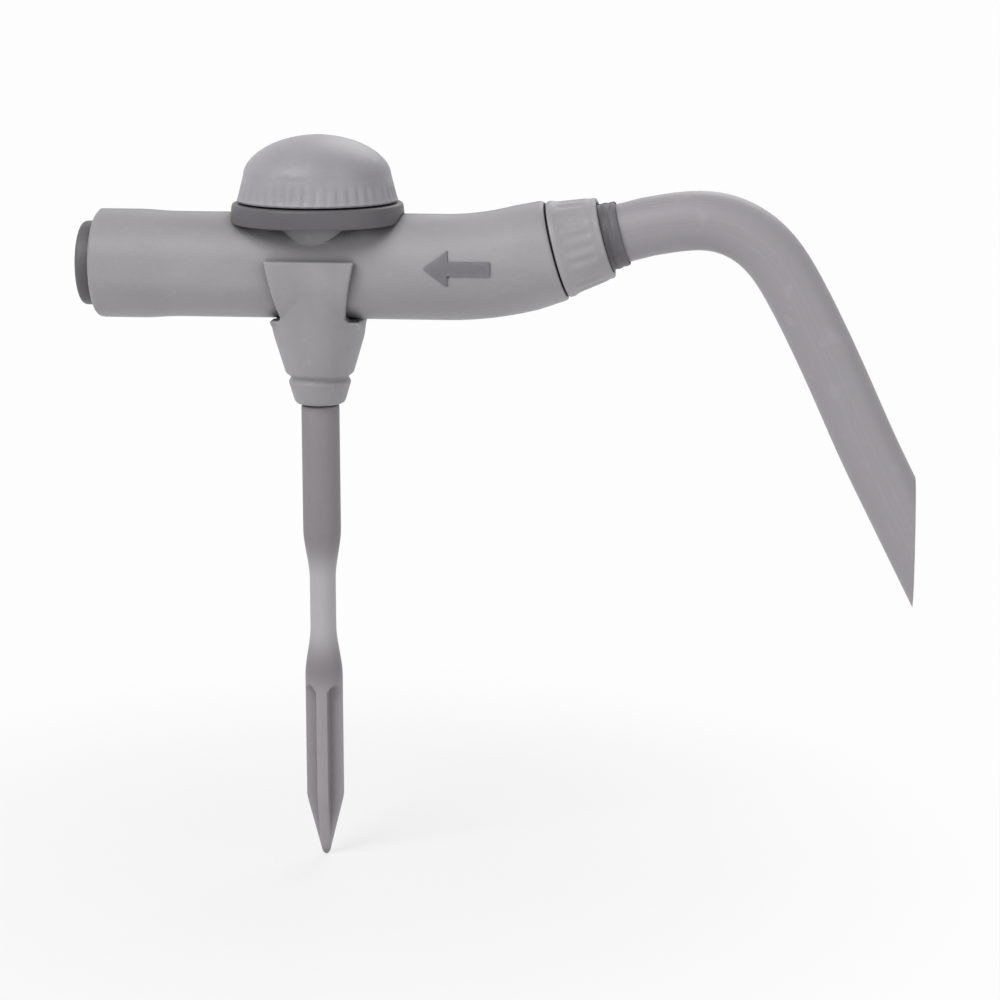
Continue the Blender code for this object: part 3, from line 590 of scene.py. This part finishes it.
def softened(made, grain, rounds):
    """Rebuilds a carved piece as one even skin, so that its corners get small moulded radii."""
    even = made.modifiers.new("skin", "REMESH")
    even.mode = "VOXEL"
    even.voxel_size = grain
    ease = made.modifiers.new("radii", "SMOOTH")
    ease.factor = 0.5
    ease.iterations = rounds
    return baked(made)


def dressed(made, material, body, node=None, sharp=40):
    """Gives a piece its finish and hangs it on the frame."""
    made.data.materials.clear()
    made.data.materials.append(material)
    made.data.shade_smooth()
    made.data.set_sharp_from_angle(angle=radians(sharp))
    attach(made, body)
    if node:
        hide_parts(node)
    return made


def spline_point(before, first, second, after, share):
    """A point of the smooth curve that passes through first and second."""
    square, cube = share * share, share * share * share
    return 0.5 * (2 * first + (second - before) * share
                  + (2 * before - 5 * first + 4 * second - after) * square
                  + (3 * first - before - 3 * second + after) * cube)


def tube_line(settings):
    """The tube's middle line, straight out of the fitting, over the top and down past the cut."""
    leave = NUT_PIVOT + TUBE_STRAIGHT * ARM_ALONG
    route = [leave - 3 * MM * ARM_ALONG, leave, *(leave + MM * Vector(point) for point in TUBE_ROUTE)]
    route.append(2 * route[-1] - route[-2])
    hidden = TUBE_STRAIGHT - settings.start
    line = [NUT_PIVOT + (settings.start + hidden * step / STRAIGHT_STEPS) * ARM_ALONG
            for step in range(STRAIGHT_STEPS)]
    for index in range(1, len(route) - 2):
        steps = max(2, round((route[index + 1] - route[index]).length / TUBE_STEP))
        line += [spline_point(*route[index - 1:index + 3], step / steps) for step in range(steps)]
    line.append(route[-2])
    for _ in range(LINE_SMOOTHING):
        for index in range(STRAIGHT_STEPS + 1, len(line) - 1):
            line[index] = (line[index - 1] + 2 * line[index] + line[index + 1]) / 4
    return line


def headings(line):
    """Each point's direction along a line."""
    ends = [(line[max(0, i - 1)], line[min(len(line) - 1, i + 1)]) for i in range(len(line))]
    return [(last - first).normalized() for first, last in ends]


def tube_rings(line, along, radius, cut):
    """Rings round the line. The last ones are drawn out to the upright cut."""
    rings = []
    turns = [2 * pi * step / TUBE_SIDES for step in range(TUBE_SIDES)]
    for centre, heading in zip(line, along):
        rise = heading.cross(ACROSS).normalized()
        side = rise.cross(heading)
        ring = [centre + radius * (cos(turn) * side + sin(turn) * rise) for turn in turns]
        if max(point.x for point in ring) > cut - 0.2 * MM:
            break
        rings.append(ring)
        last = heading
    final = rings[-1]
    for step in range(1, TUBE_TAIL + 1):
        rings.append([point + last * ((cut - point.x) / last.x) * step / TUBE_TAIL for point in final])
    return rings


class EMITTER_OT_stage(bpy.types.Operator):
    """Camera, lamps, sky and floor"""

    bl_idname = "emitter.set_stage"
    bl_label = "Set the stage"

    def execute(self, context):
        settings = context.scene.emitter_stage
        scene = context.scene
        scene.view_settings.view_transform = "Standard"
        self.camera(scene, settings)
        self.sky(scene, settings)
        aim = Vector(settings.aim)
        for name, offset, size, power in LAMPS:
            self.lamp(name, aim + Vector(offset), aim, size, power)
        self.floor(settings)
        return {"FINISHED"}

    def camera(self, scene, settings):
        """The camera, turned and raised about its aim."""
        data = bpy.data.cameras.new("camera")
        data.lens = settings.lens
        data.clip_start = 0.01
        data.clip_end = 20.0
        camera = bpy.data.objects.new("camera", data)
        scene.collection.objects.link(camera)
        turn, flat = settings.azimuth, cos(settings.elevation)
        back = Vector((sin(turn) * flat, -cos(turn) * flat, sin(settings.elevation)))
        camera.location = Vector(settings.aim) + settings.distance * back
        camera.rotation_euler = (-back).to_track_quat("-Z", "Y").to_euler()
        scene.camera = camera

    def lamp(self, name, spot, aim, size, power):
        """A square lamp that faces the aim."""
        data = bpy.data.lights.new(name, "AREA")
        data.shape = "SQUARE"
        data.size = size
        data.energy = power
        lamp = bpy.data.objects.new(name, data)
        bpy.context.scene.collection.objects.link(lamp)
        lamp.location = spot
        lamp.rotation_euler = (aim - spot).to_track_quat("-Z", "Y").to_euler()

    def sky(self, scene, settings):
        """Even light all round, shown as white."""
        world = bpy.data.worlds.new("studio")
        scene.world = world
        made = Finish(world)
        light = {"Color": (1.0, 1.0, 1.0, 1.0), "Strength": settings.sky}
        even = made.node("ShaderNodeBackground", {}, light)
        white = made.node("ShaderNodeBackground", {}, {"Color": WHITE, "Strength": 1.0})
        both = made.node("ShaderNodeMixShader", {}, {0: made.shown(), 1: even, 2: white})
        made.node("ShaderNodeOutputWorld", {}, {"Surface": both})

    def floor(self, settings):
        """White paper that takes a soft shadow near the stake and glows further out."""
        shape = bmesh.new()
        bmesh.ops.create_grid(shape, x_segments=8, y_segments=8, size=FLOOR_REACH)
        floor = as_object("floor", shape, Matrix.Translation((0.0, 0.0, -FLOOR_GAP)))
        made = new_finish("floor_paper")
        place = made.place()
        grain = made.noise(place, 260.0, 4.0)
        body = made.mixed(grain, shade(settings.floor, 0.985), shade(settings.floor, 1.015))
        paper = made.node("ShaderNodeBsdfPrincipled", {}, {"Base Color": body, "Roughness": 0.9})
        glow = made.node("ShaderNodeEmission", {}, {"Color": WHITE, "Strength": 1.0})
        away = made.node("ShaderNodeVectorMath", {"operation": "LENGTH"}, {0: place}, "Value")
        share = 0.70 + 0.30 * made.between(away, SHADE_NEAR, SHADE_FAR)
        both = made.node("ShaderNodeMixShader", {}, {0: made.shown() * share, 1: paper, 2: glow})
        made.node("ShaderNodeOutputMaterial", {}, {"Surface": both})
        floor.data.materials.append(made.owner)


class EMITTER_OT_tube(bpy.types.Operator):
    """The supply tube, hollow, with its upright cut"""

    bl_idname = "emitter.add_tube"
    bl_label = "Supply tube"

    def execute(self, context):
        settings = context.scene.emitter_tube
        if settings.wall >= settings.radius:
            raise ValueError("The tube's wall leaves no bore")
        line = tube_line(settings)
        along = headings(line)
        outside = tube_rings(line, along, settings.radius, settings.cut)
        bore = settings.radius - settings.wall
        inside = tube_rings(line[:len(outside) - TUBE_TAIL], along, bore, settings.cut)
        rings = [*outside, *reversed(inside)]
        shape = loft(rings + rings[:1], capped=False)
        bmesh.ops.remove_doubles(shape, verts=shape.verts, dist=TINY)
        self.unroll(shape, line, along)
        tube = as_object("supply_vinyl_tube", shape, BASE)
        finish = soft_vinyl("soft_vinyl", settings.colour)
        dressed(tube, finish, "emitter", "supply_tube", 50)
        # The middle line runs on past the cut, part of the way to the tip of its slanted end, and its length is
        # summed
        past = settings.cut + 1.7 * MM
        middle = [point for point in line if point.x <= past]
        length = sum((second - first).length for first, second in zip(middle, middle[1:]))
        return {"FINISHED"}

    def unroll(self, shape, line, along):
        """Maps the skin for the drawn lines: U goes round the tube and V along it."""
        route = shape.loops.layers.uv.new("route")
        for face in shape.faces:
            for loop in face.loops:
                spot = loop.vert.co
                near = min(range(len(line)), key=lambda index: (line[index] - spot).length_squared)
                rise = along[near].cross(ACROSS).normalized()
                side = rise.cross(along[near])
                off = spot - line[near]
                turn = abs(atan2(off.dot(rise), off.dot(side))) / (2 * pi)
                loop[route].uv = (0.5 + turn, near * TUBE_STEP)


class EMITTER_OT_stake(bpy.types.Operator):
    """The fluted spear, slim waist, shank and tenon"""

    bl_idname = "emitter.add_stake"
    bl_label = "Ground stake"

    def execute(self, context):
        settings = context.scene.emitter_stake
        full, waist = settings.radius, settings.waist
        fin = settings.fin / 2
        stations = self.spear(settings, full, fin)
        stations += self.neck(21.0 * MM, 26.8 * MM, full, waist)
        stations += [(z * MM, waist, full) for z in (28, 29.5, 31)]
        stations += self.neck(32.2 * MM, 38.0 * MM, waist, full)
        stations += [(z * MM, full, full) for z in (40, 42, 44, 46, 48, 50.5)]
        stations += self.tenon(settings.shoulder, settings.tenon, full, fin)
        rings = [self.ring(height, radius, depth) for height, radius, depth in stations]
        stake = as_object("moulded_stake", loft(rings), BASE)
        thin = (24.6 * MM, 34.6 * MM, 2.6 * MM, settings.waist_colour)
        # Painted light: a paler band up the spear that lifts the shade in its flutes.
        painted_spear_light = (-2 * MM, 20.5 * MM, 1.5 * MM, settings.spear_lit_colour)
        finish = moulded("stake_plastic", settings.colour, 0.55, STAKE_FLOW, (thin, painted_spear_light), 0.35)
        dressed(stake, finish, "ground_stake", "stake", 45)
        return {"FINISHED"}

    def spear(self, settings, full, fin):
        """Height, radius and fin's half thickness up the point and the flutes, to where these run out."""
        tip, point, middle, belly = settings.tip, 7, 14, 0.012 * MM
        made = [(0.0, 0.4 * tip, fin), (0.12 * MM, 0.8 * tip, fin)]
        made += [(z * MM, tip + (full - tip) * z / point, fin) for z in (0.35, 1, 2, 3, 4, 5, 6, 6.6)]
        made += [(z * MM, full - belly * abs(z - middle) / middle, fin)
                 for z in (7.2, 9, 11, 13, 15, 17, 18.6)]
        flutes_end, run_out, steps = 19.2 * MM, 1.6 * MM, 12
        for step in range(steps + 1):
            share = step / steps
            depth = fin + (full - fin) * (1 - cos(share * pi / 2)) * 1.02
            made.append((flutes_end + run_out * share, full, depth))
        return made

    def neck(self, low, high, first, last):
        """A smooth change of radius between two heights."""
        steps = 16
        made = []
        for step in range(steps + 1):
            share = step / steps
            swing = share * share * (3 - 2 * share)
            radius = first + (last - first) * swing
            made.append((low + (high - low) * share, radius, max(first, last)))
        return made

    def tenon(self, top, radius, full, fin):
        """The shank's eased shoulder and the cross that stands on it."""
        lip = 0.25 * MM
        return [
            (top - lip, full, full),
            (top - 0.3 * lip, full - 0.3 * lip, full),
            (top, full - lip, full),
            (top, radius, full),
            (top + 0.12 * MM, radius, fin),
            (top + 3 * MM, radius, fin),
            (top + 5.0 * MM, radius, fin),
            (top + 5.3 * MM, radius - 0.12 * MM, fin),
            (top + 5.4 * MM, radius - 0.3 * MM, fin),
        ]

    def ring(self, height, radius, depth):
        """A cross of four fins of half thickness depth, trimmed to a circle."""
        ring = []
        for step in range(STAKE_SIDES):
            angle = 2 * pi * (step + 0.5) / STAKE_SIDES
            slim = min(abs(sin(angle)), abs(cos(angle)))
            reach = min(radius, depth / slim)
            ring.append((reach * cos(angle), reach * sin(angle), height))
        return ring


class EMITTER_OT_saddle(bpy.types.Operator):
    """The funnel and clip under the barrel"""

    bl_idname = "emitter.add_saddle"
    bl_label = "Stake saddle"

    def execute(self, context):
        settings = context.scene.emitter_head
        clearance, wall, over = 0.15 * MM, 1.1 * MM, 1.2 * MM
        nest = settings.radius + clearance
        clip = nest + wall
        nose, drop = 2.7 * MM, 9.5 * MM + settings.radius
        side = settings.saddle_width / 2
        far = 2 * clip
        reach = hypot(nose, drop)
        slope = asin(clip / reach) - asin(nose / reach)
        touch = -drop + reach * cos(asin(clip / reach)) * cos(slope)
        saddle = as_object("clip_saddle", turned(self.funnel(nose, drop, slope, touch)), HEAD)
        hole, pocket, floor = 1.75 * MM, 3.6 * MM, -7.5 * MM
        socket = [
            (0.0, -drop - MM),
            (hole, -drop - MM),
            (hole, -8.9 * MM),
            (2.2 * MM, floor),
            (pocket, floor),
            (pocket, 0.0),
            (0.0, 0.0),
        ]
        steps = [
            ("UNION", placed(rod(clip, -side - 0.5 * MM, side + 0.5 * MM), LYING)),
            ("DIFFERENCE", block((side, -far, -far - drop), (far, far, far))),
            ("DIFFERENCE", block((-far, -far, -far - drop), (-side, far, far))),
            ("DIFFERENCE", block((-far, -far, over), (far, far, far))),
            ("DIFFERENCE", placed(rod(nest, -far, far), LYING)),
            ("DIFFERENCE", turned(socket, SMALL_ROUND)),
            *self.cheeks(far),
        ]
        softened(carved(saddle, steps), 0.13 * MM, 9)
        finish = moulded("saddle_plastic", shade(settings.moulded, 0.99)[:3], 0.50, SADDLE_FLOW)
        dressed(saddle, finish, "emitter", "stake_saddle", 75)
        return {"FINISHED"}

    def funnel(self, nose, drop, slope, touch):
        """The cone from its eased nose, past the groove of its collar, to where it meets the clip."""
        lip = 0.35 * MM
        collar, groove, spread = 3.0 * MM, 0.5 * MM, 0.5 * MM
        return [
            (0.0, -drop),
            (nose - lip, -drop),
            (nose - 0.3 * lip, -drop + 0.3 * lip),
            (nose + lip * tan(slope), -drop + lip),
            (nose + (collar - spread) * tan(slope), -drop + collar - spread),
            (nose + collar * tan(slope) - groove, -drop + collar),
            (nose + (collar + spread) * tan(slope), -drop + collar + spread),
            (nose + (touch + drop) * tan(slope), touch),
            (0.0, touch),
        ]

    def cheeks(self, far):
        """Four cuts that make the clip's front and back lean in towards the funnel."""
        outline = in_metres([(4.9, 1.4), (3.5, -5.2), (3.75, -5.62), (5.6, -5.75), (5.6, 1.4)])
        inner = 1.6 * MM
        return [("DIFFERENCE", slab([(way * x, z) for x, z in outline], face * inner, face * far))
                for way in (-1, 1) for face in (-1, 1)]


def barrel_stations(radius):
    """Places along the barrel and round its bend into the inlet arm: centre, direction and radius."""
    bell, flared, lip = 0.2 * MM, 9.0 * MM, 0.6 * MM
    bend, arm, mouth = 34.0 * MM, 7.8 * MM, 5.5 * MM
    lip_steps, bell_steps, level_steps, bend_steps, arm_steps = 8, 18, 16, 24, 6
    end = CLOSED_END_X
    corner = Vector((ARM_CORNER, 0.0, 0.0))
    begin = bend * tan(ARM_TILT / 2)
    start = ARM_CORNER - begin
    first = end + flared
    made = []
    for step in range(lip_steps + 1):
        angle = pi / 2 * step / lip_steps
        centre = Vector((end + lip * (1 - cos(angle)), 0.0, 0.0))
        made.append((centre, AHEAD, radius + bell - lip + lip * sin(angle)))
    for step in range(1, bell_steps + 1):
        share = step / bell_steps
        swing = max(0.0, 2 * share - 1)
        drop = swing * swing * (3 - 2 * swing)
        centre = Vector((end + lip + (flared - lip) * share, 0.0, 0.0))
        made.append((centre, AHEAD, radius + bell * (1 - drop)))
    for step in range(1, level_steps):
        made.append((Vector((first + (start - first) * step / level_steps, 0.0, 0.0)), AHEAD, radius))
    for step in range(bend_steps + 1):
        angle = ARM_TILT * step / bend_steps
        centre = Vector((start + bend * sin(angle), 0.0, bend * (1 - cos(angle))))
        made.append((centre, Vector((cos(angle), 0.0, sin(angle))), radius))
    for step in range(1, arm_steps + 1):
        share = step / arm_steps
        centre = corner + (begin + (arm - lip - begin) * share) * ARM_ALONG
        made.append((centre, ARM_ALONG, radius + (mouth - radius) * share))
    for step in range(1, arm_steps + 1):
        angle = pi / 2 * step / arm_steps
        centre = corner + (arm - lip + lip * sin(angle)) * ARM_ALONG
        made.append((centre, ARM_ALONG, mouth - lip / 2 * (1 - cos(angle))))
    return made


def barrel_rings(radius, seam, spare):
    """Rings along the barrel, larger by spare, with a mould seam above and below."""
    rings = []
    for centre, along, reach in barrel_stations(radius):
        rise = ACROSS.cross(along)
        ring = []
        for step in range(BARREL_SIDES):
            angle = 2 * pi * step / BARREL_SIDES
            seamed = seam * max(0.0, 1 - abs(cos(angle)) * BARREL_SIDES / (2 * pi))
            out = reach + spare + seamed
            ring.append(centre + out * (cos(angle) * ACROSS + sin(angle) * rise))
        rings.append(ring)
    return rings


class EMITTER_OT_barrel(bpy.types.Operator):
    """The hollow barrel with its neck, outlet nipple, inlet arm and flow arrow"""

    bl_idname = "emitter.add_barrel"
    bl_label = "Barrel"

    def execute(self, context):
        settings = context.scene.emitter_head
        barrel = as_object("moulded_barrel", loft(barrel_rings(settings.radius, settings.seam, 0.0)), HEAD)
        to_arm = HEAD.inverted() @ ARM
        to_end = HEAD.inverted() @ CLOSED_END
        depth = ARM_CORNER - 6.0 * MM - CLOSED_END_X
        bore, chamfer = settings.bore, 0.3 * MM
        spigot = eased(in_metres([(0.0, 6.8, 0.0), (4.0, 6.8, 0.0), (4.0, 10.4, 0.3), (0.0, 10.4, 0.0)]))
        inlet = in_metres([(0.0, -6.5), (2.5, -6.5), (2.5, 6.0), (3.2, 6.0), (3.2, 11.0), (0.0, 11.0)])
        mouth = [
            (0.0, -depth),
            (bore, -depth),
            (bore, -chamfer),
            (bore + chamfer, 0.02 * MM),
            (bore + chamfer, MM),
            (0.0, MM),
        ]
        neck, neck_top, neck_bore, neck_bands = 5.0 * MM, 7.0 * MM, 3.6 * MM, 28
        nipple, nipple_end, nipple_bore = 2.4 * MM, -7.3 * MM, 1.95 * MM
        steps = [
            ("UNION", placed(turned(spigot), to_arm)),
            ("UNION", rod(neck, 0.0, neck_top, ROUND, neck_bands)),
            ("UNION", rod(nipple, nipple_end, 0.0, SMALL_ROUND)),
            ("DIFFERENCE", placed(turned(mouth), to_end)),
            ("DIFFERENCE", rod(neck_bore, 0.0, neck_top + 0.5 * MM, SMALL_ROUND)),
            ("DIFFERENCE", rod(nipple_bore, nipple_end - 0.5 * MM, 0.0, FINE_ROUND)),
            ("DIFFERENCE", placed(turned(inlet, SMALL_ROUND), to_arm)),
        ]
        carved(barrel, steps)
        finish = moulded("barrel_plastic", settings.moulded, 0.48, BARREL_FLOW)
        dressed(barrel, finish, "emitter", "barrel", 35)
        self.arrow(settings)
        return {"FINISHED"}

    def arrow(self, settings):
        """A thin raised arrow on the barrel's front that points the way the water goes."""
        middle, height = 15.9 * MM, 0.5 * MM
        point, neck, tail, head, shaft = -3.6, -1.1, 3.5, 1.9, 0.75
        upper = [(neck, head), (neck, shaft), (tail, shaft)]
        lower = [(x, -z) for x, z in reversed(upper)]
        outline = [(middle + x * MM, height + z * MM) for x, z in [(point, 0.0), *upper, *lower]]
        arrow = as_object("flow_arrow", slab(outline, -9.0 * MM, -3.0 * MM), HEAD)
        skin = loft(barrel_rings(settings.radius, 0.0, 0.16 * MM))
        core = loft(barrel_rings(settings.radius, 0.0, -0.12 * MM))
        carved(arrow, [("INTERSECT", skin), ("DIFFERENCE", core)], 0.05 * MM)
        finish = moulded("arrow_ink", shade(settings.dark, 1.4)[:3], 0.5, EVEN_FLOW)
        dressed(arrow, finish, "emitter", None, 30)


class EMITTER_OT_bonnet(bpy.types.Operator):
    """The flared ring that closes the neck"""

    bl_idname = "emitter.add_bonnet"
    bl_label = "Bonnet"

    def execute(self, context):
        settings = context.scene.emitter_head
        profile = in_metres([
            (1.75, 4.6, 0.0), (3.45, 4.6, 0.2), (3.45, 7.8, 0.0), (5.15, 7.8, 0.0), (5.15, 4.8, 0.1),
            (6.25, 4.8, 0.1), (6.25, 6.0, 0.2), (8.3, 6.0, 0.2), (8.3, 4.8, 0.1), (9.5, 4.8, 0.3),
            (9.3, 6.9, 0.35), (6.8, 6.9, 0.15), (6.8, 8.6, 0.3), (3.0, 8.6, 0.15), (3.0, 9.05, 0.0),
            (2.65, 9.05, 0.0), (2.65, 9.65, 0.0), (3.0, 9.65, 0.0), (3.0, 10.0, 0.15), (0.0, 10.0, 0.0),
            (0.0, 7.8, 0.0), (1.75, 7.8, 0.0),
        ])
        bonnet = as_object("flared_bonnet", turned(eased(profile)), HEAD)
        far, neck, key = 10 * MM, 5.0 * MM, 1.3 * MM
        over = as_object("arch", placed(rod(settings.radius + 0.2 * MM, -far, far), LYING), HEAD)
        arch = carved(over, [("DIFFERENCE", rod(neck, -far, far, SMALL_ROUND))])
        steps = [
            ("DIFFERENCE", as_shape(arch)),
            ("DIFFERENCE", block((-key, -key, 7.0 * MM), (key, key, 10.6 * MM))),
        ]
        carved(bonnet, steps)
        finish = moulded("bonnet_plastic", settings.dark, 0.46, UP_FLOW)
        dressed(bonnet, finish, "emitter", "bonnet", 35)
        return {"FINISHED"}


class EMITTER_OT_knob(bpy.types.Operator):
    """The domed flow knob with shallow grips round its skirt"""

    bl_idname = "emitter.add_knob"
    bl_label = "Flow knob"

    def execute(self, context):
        settings = context.scene.emitter_head
        foot, shoulder, top = 7.05 * MM, 10.0 * MM, 14.2 * MM
        rim, wide, wall, hub_side = 8.75 * MM, 8.0 * MM, 1.2 * MM, 4.55
        crown, dome_steps, skirt_steps, lip = 1.15, 28, 14, 0.25 * MM
        turns = [pi / 2 * step / dome_steps for step in range(dome_steps)]
        dome = [(wide * cos(turn), shoulder + (top - shoulder) * sin(turn) ** crown) for turn in turns]
        lower = (top - shoulder - wall) / (top - shoulder)
        inside = [(r * (wide - wall) / wide, shoulder + (z - shoulder) * lower) for r, z in dome]
        inside = [(r, z) for r, z in inside if r > 4.6 * MM]
        gate = in_metres([(0.9, 14.17), (0.8, 14.10), (0.42, 14.09), (0.32, 14.15), (0.0, 14.16)])
        hub = in_metres([
            (0.0, 12.9), (1.25, 12.9), (1.25, 10.2), (3.2, 10.2), (3.2, 9.65), (3.55, 9.65), (3.55, 9.05),
            (3.2, 9.05), (3.2, 8.75), (hub_side, 8.75), (hub_side, inside[-1][1] / MM),
        ])
        skirt = [(rim + (wide - rim) * step / skirt_steps, foot + (shoulder - foot) * step / skirt_steps)
                 for step in range(2, skirt_steps)]
        profile = [
            (rim - wall, foot),
            (rim - lip, foot),
            (rim - 0.3 * lip, foot + 0.3 * lip),
            (rim - 0.05 * lip, foot + lip),
            *skirt,
            *((r, z) for r, z in dome if r > 1.0 * MM),
            *gate,
            *hub,
            *reversed(inside),
        ]
        grips_end = shoulder - 0.5 * MM

        def grips(angle, radius, height):
            """Shallow scallops up the skirt, which run out under the shoulder."""
            if radius < wide * 0.99 or height > grips_end:
                return 0.0
            rise = min(1.0, (height - foot) / (0.7 * MM))
            fade = min(1.0, (grips_end - height) / (1.1 * MM))
            return -0.15 * MM * rise * fade * (0.5 + 0.5 * cos(settings.scallops * angle)) ** 2

        knob = as_object("domed_flow_knob", turned(profile, 8 * settings.scallops, grips), HEAD)
        finish = moulded("knob_plastic", settings.knob, 0.42, EVEN_FLOW)
        dressed(knob, finish, "knob", "flow_knob", 40)
        return {"FINISHED"}


class EMITTER_OT_plug(bpy.types.Operator):
    """The flush plug in the barrel's closed end"""

    bl_idname = "emitter.add_plug"
    bl_label = "Flush plug"

    def execute(self, context):
        settings = context.scene.emitter_head
        body = settings.bore / MM - 0.15
        profile = in_metres([
            (0.0, 0.0, 0.0), (2.3, 0.0, 0.2), (2.3, -7.2, 0.1), (body, -7.2, 0.5), (body, -3.55, 0.08),
            (3.6, -3.55, 0.0), (3.6, -2.45, 0.0), (body, -2.45, 0.08), (body, 0.1, 0.0), (4.6, 0.1, 0.12),
            (4.6, 1.7, 0.6), (3.5, 1.7, 0.25), (3.1, 1.25, 0.25), (0.9, 1.25, 0.2), (0.75, 1.45, 0.15),
            (0.0, 1.45, 0.0),
        ])
        plug = as_object("dished_flush_plug", turned(eased(profile)), CLOSED_END)
        finish = moulded("plug_plastic", settings.dark, 0.46, UP_FLOW)
        dressed(plug, finish, "plug", "flush_plug", 35)
        return {"FINISHED"}


class EMITTER_OT_coupling(bpy.types.Operator):
    """The lock nut and the split ring that grips the tube"""

    bl_idname = "emitter.add_coupling"
    bl_label = "Lock nut and grip ring"

    def execute(self, context):
        settings = context.scene.emitter_head
        self.nut(settings)
        self.ring(settings)
        return {"FINISHED"}

    def nut(self, settings):
        """The lock nut, with shallow flutes round its cone."""
        profile = in_metres([
            (4.2, 8.0, 0.1), (5.3, 8.0, 0.2), (5.3, 8.6, 0.25), (5.1, 9.0, 0.2), (4.62, 12.2, 0.2),
            (4.45, 12.7, 0.2), (4.45, 13.3, 0.3), (3.85, 13.3, 0.15), (3.85, 12.5, 0.0), (4.2, 12.5, 0.0),
        ])
        low, high, fade_over = 9.0 * MM, 12.4 * MM, 0.5 * MM

        def flutes(angle, radius, height):
            """Shallow hollows between ribs on the nut's cone."""
            if radius < 4.5 * MM or not low < height < high:
                return 0.0
            fade = min(1.0, (height - low) / fade_over, (high - height) / fade_over)
            return -0.14 * MM * fade * (0.5 - 0.5 * cos(settings.nut_flutes * angle))

        side = resampled(eased(profile), 0.4 * MM)
        nut = as_object("ribbed_lock_nut", turned(side, 8 * settings.nut_flutes, flutes), ARM)
        finish = moulded("nut_plastic", shade(settings.moulded, 1.10)[:3], 0.46, UP_FLOW)
        dressed(nut, finish, "nut", "lock_nut", 35)

    def ring(self, settings):
        """The grip ring, grooved where it shows and split along one side."""
        profile = in_metres([
            (3.325, 11.3, 0.05), (3.95, 11.3, 0.1), (3.95, 12.4, 0.1), (3.7, 12.4, 0.0), (3.7, 13.4, 0.1),
            (3.6, 13.55, 0.05), (3.6, 13.8, 0.05), (3.64, 13.9, 0.05), (3.6, 14.3, 0.05), (3.52, 14.4, 0.05),
            (3.52, 14.65, 0.05), (3.56, 14.75, 0.05), (3.5, 15.2, 0.12), (3.325, 15.2, 0.08),
        ])
        ring = as_object("split_grip_ring", turned(eased(profile)), ARM)
        gap = 0.4 * MM
        carved(ring, [("DIFFERENCE", block((-8 * MM, -gap, 10.8 * MM), (0.0, gap, 15.7 * MM)))])
        finish = moulded("grip_plastic", settings.dark, 0.5, UP_FLOW)
        dressed(ring, finish, "grip", "grip_ring", 35)


class EMITTER_OT_inner(bpy.types.Operator):
    """Finishes for the valve's inner pieces and seals"""

    bl_idname = "emitter.finish_inner"
    bl_label = "Inner pieces"

    def execute(self, context):
        settings = context.scene.emitter_head
        acetal = natural_acetal("natural_acetal", settings.acetal)
        rubber = seal_rubber("nitrile_rubber", settings.rubber)
        grey = moulded("barb_plastic", settings.moulded, 0.5, EVEN_FLOW)
        finishes = {"white_acetal": acetal, "seal_rubber": rubber, "moulded_grey": grey}
        for part in frame["record"]["subparts"]:
            node = frame["nodes"][part["node"]]
            if node.hide_render:
                continue
            node.data.materials.clear()
            node.data.materials.append(finishes[part["material_slot"]])
        return {"FINISHED"}


class EMITTER_PT_looks(bpy.types.Panel):
    """Everything that can be changed or built again"""

    bl_idname = "EMITTER_PT_looks"
    bl_label = "Drip emitter"
    bl_space_type = "VIEW_3D"
    bl_region_type = "UI"
    bl_category = "Emitter"

    def draw(self, context):
        for name in GROUPS:
            group = getattr(context.scene, name)
            box = self.layout.box()
            for setting in group.__annotations__:
                box.prop(group, setting)
        for operator in STEPS:
            self.layout.operator(operator.bl_idname)


GROUPS = {
    "emitter_tube": TubeSettings,
    "emitter_stake": StakeSettings,
    "emitter_head": HeadSettings,
    "emitter_stage": StageSettings,
}
STEPS = (
    EMITTER_OT_stage,
    EMITTER_OT_tube,
    EMITTER_OT_stake,
    EMITTER_OT_saddle,
    EMITTER_OT_barrel,
    EMITTER_OT_bonnet,
    EMITTER_OT_knob,
    EMITTER_OT_plug,
    EMITTER_OT_coupling,
    EMITTER_OT_inner,
)


def register():
    """Makes the settings, operators and panel known to Blender."""
    for group in GROUPS.values():
        bpy.utils.register_class(group)
    for name, group in GROUPS.items():
        setattr(bpy.types.Scene, name, PointerProperty(type=group))
    for step in STEPS:
        bpy.utils.register_class(step)
    bpy.utils.register_class(EMITTER_PT_looks)


def unregister():
    """Takes them away again."""
    bpy.utils.unregister_class(EMITTER_PT_looks)
    for step in reversed(STEPS):
        bpy.utils.unregister_class(step)
    for name, group in GROUPS.items():
        delattr(bpy.types.Scene, name)
        bpy.utils.unregister_class(group)


def main():
    """Builds everything in order."""
    register()
    bpy.ops.emitter.set_stage()
    bpy.ops.emitter.add_tube()
    bpy.ops.emitter.add_stake()
    bpy.ops.emitter.add_saddle()
    bpy.ops.emitter.add_barrel()
    bpy.ops.emitter.add_bonnet()
    bpy.ops.emitter.add_knob()
    bpy.ops.emitter.add_plug()
    bpy.ops.emitter.add_coupling()
    bpy.ops.emitter.finish_inner()


if __name__ == "__main__":
    main()
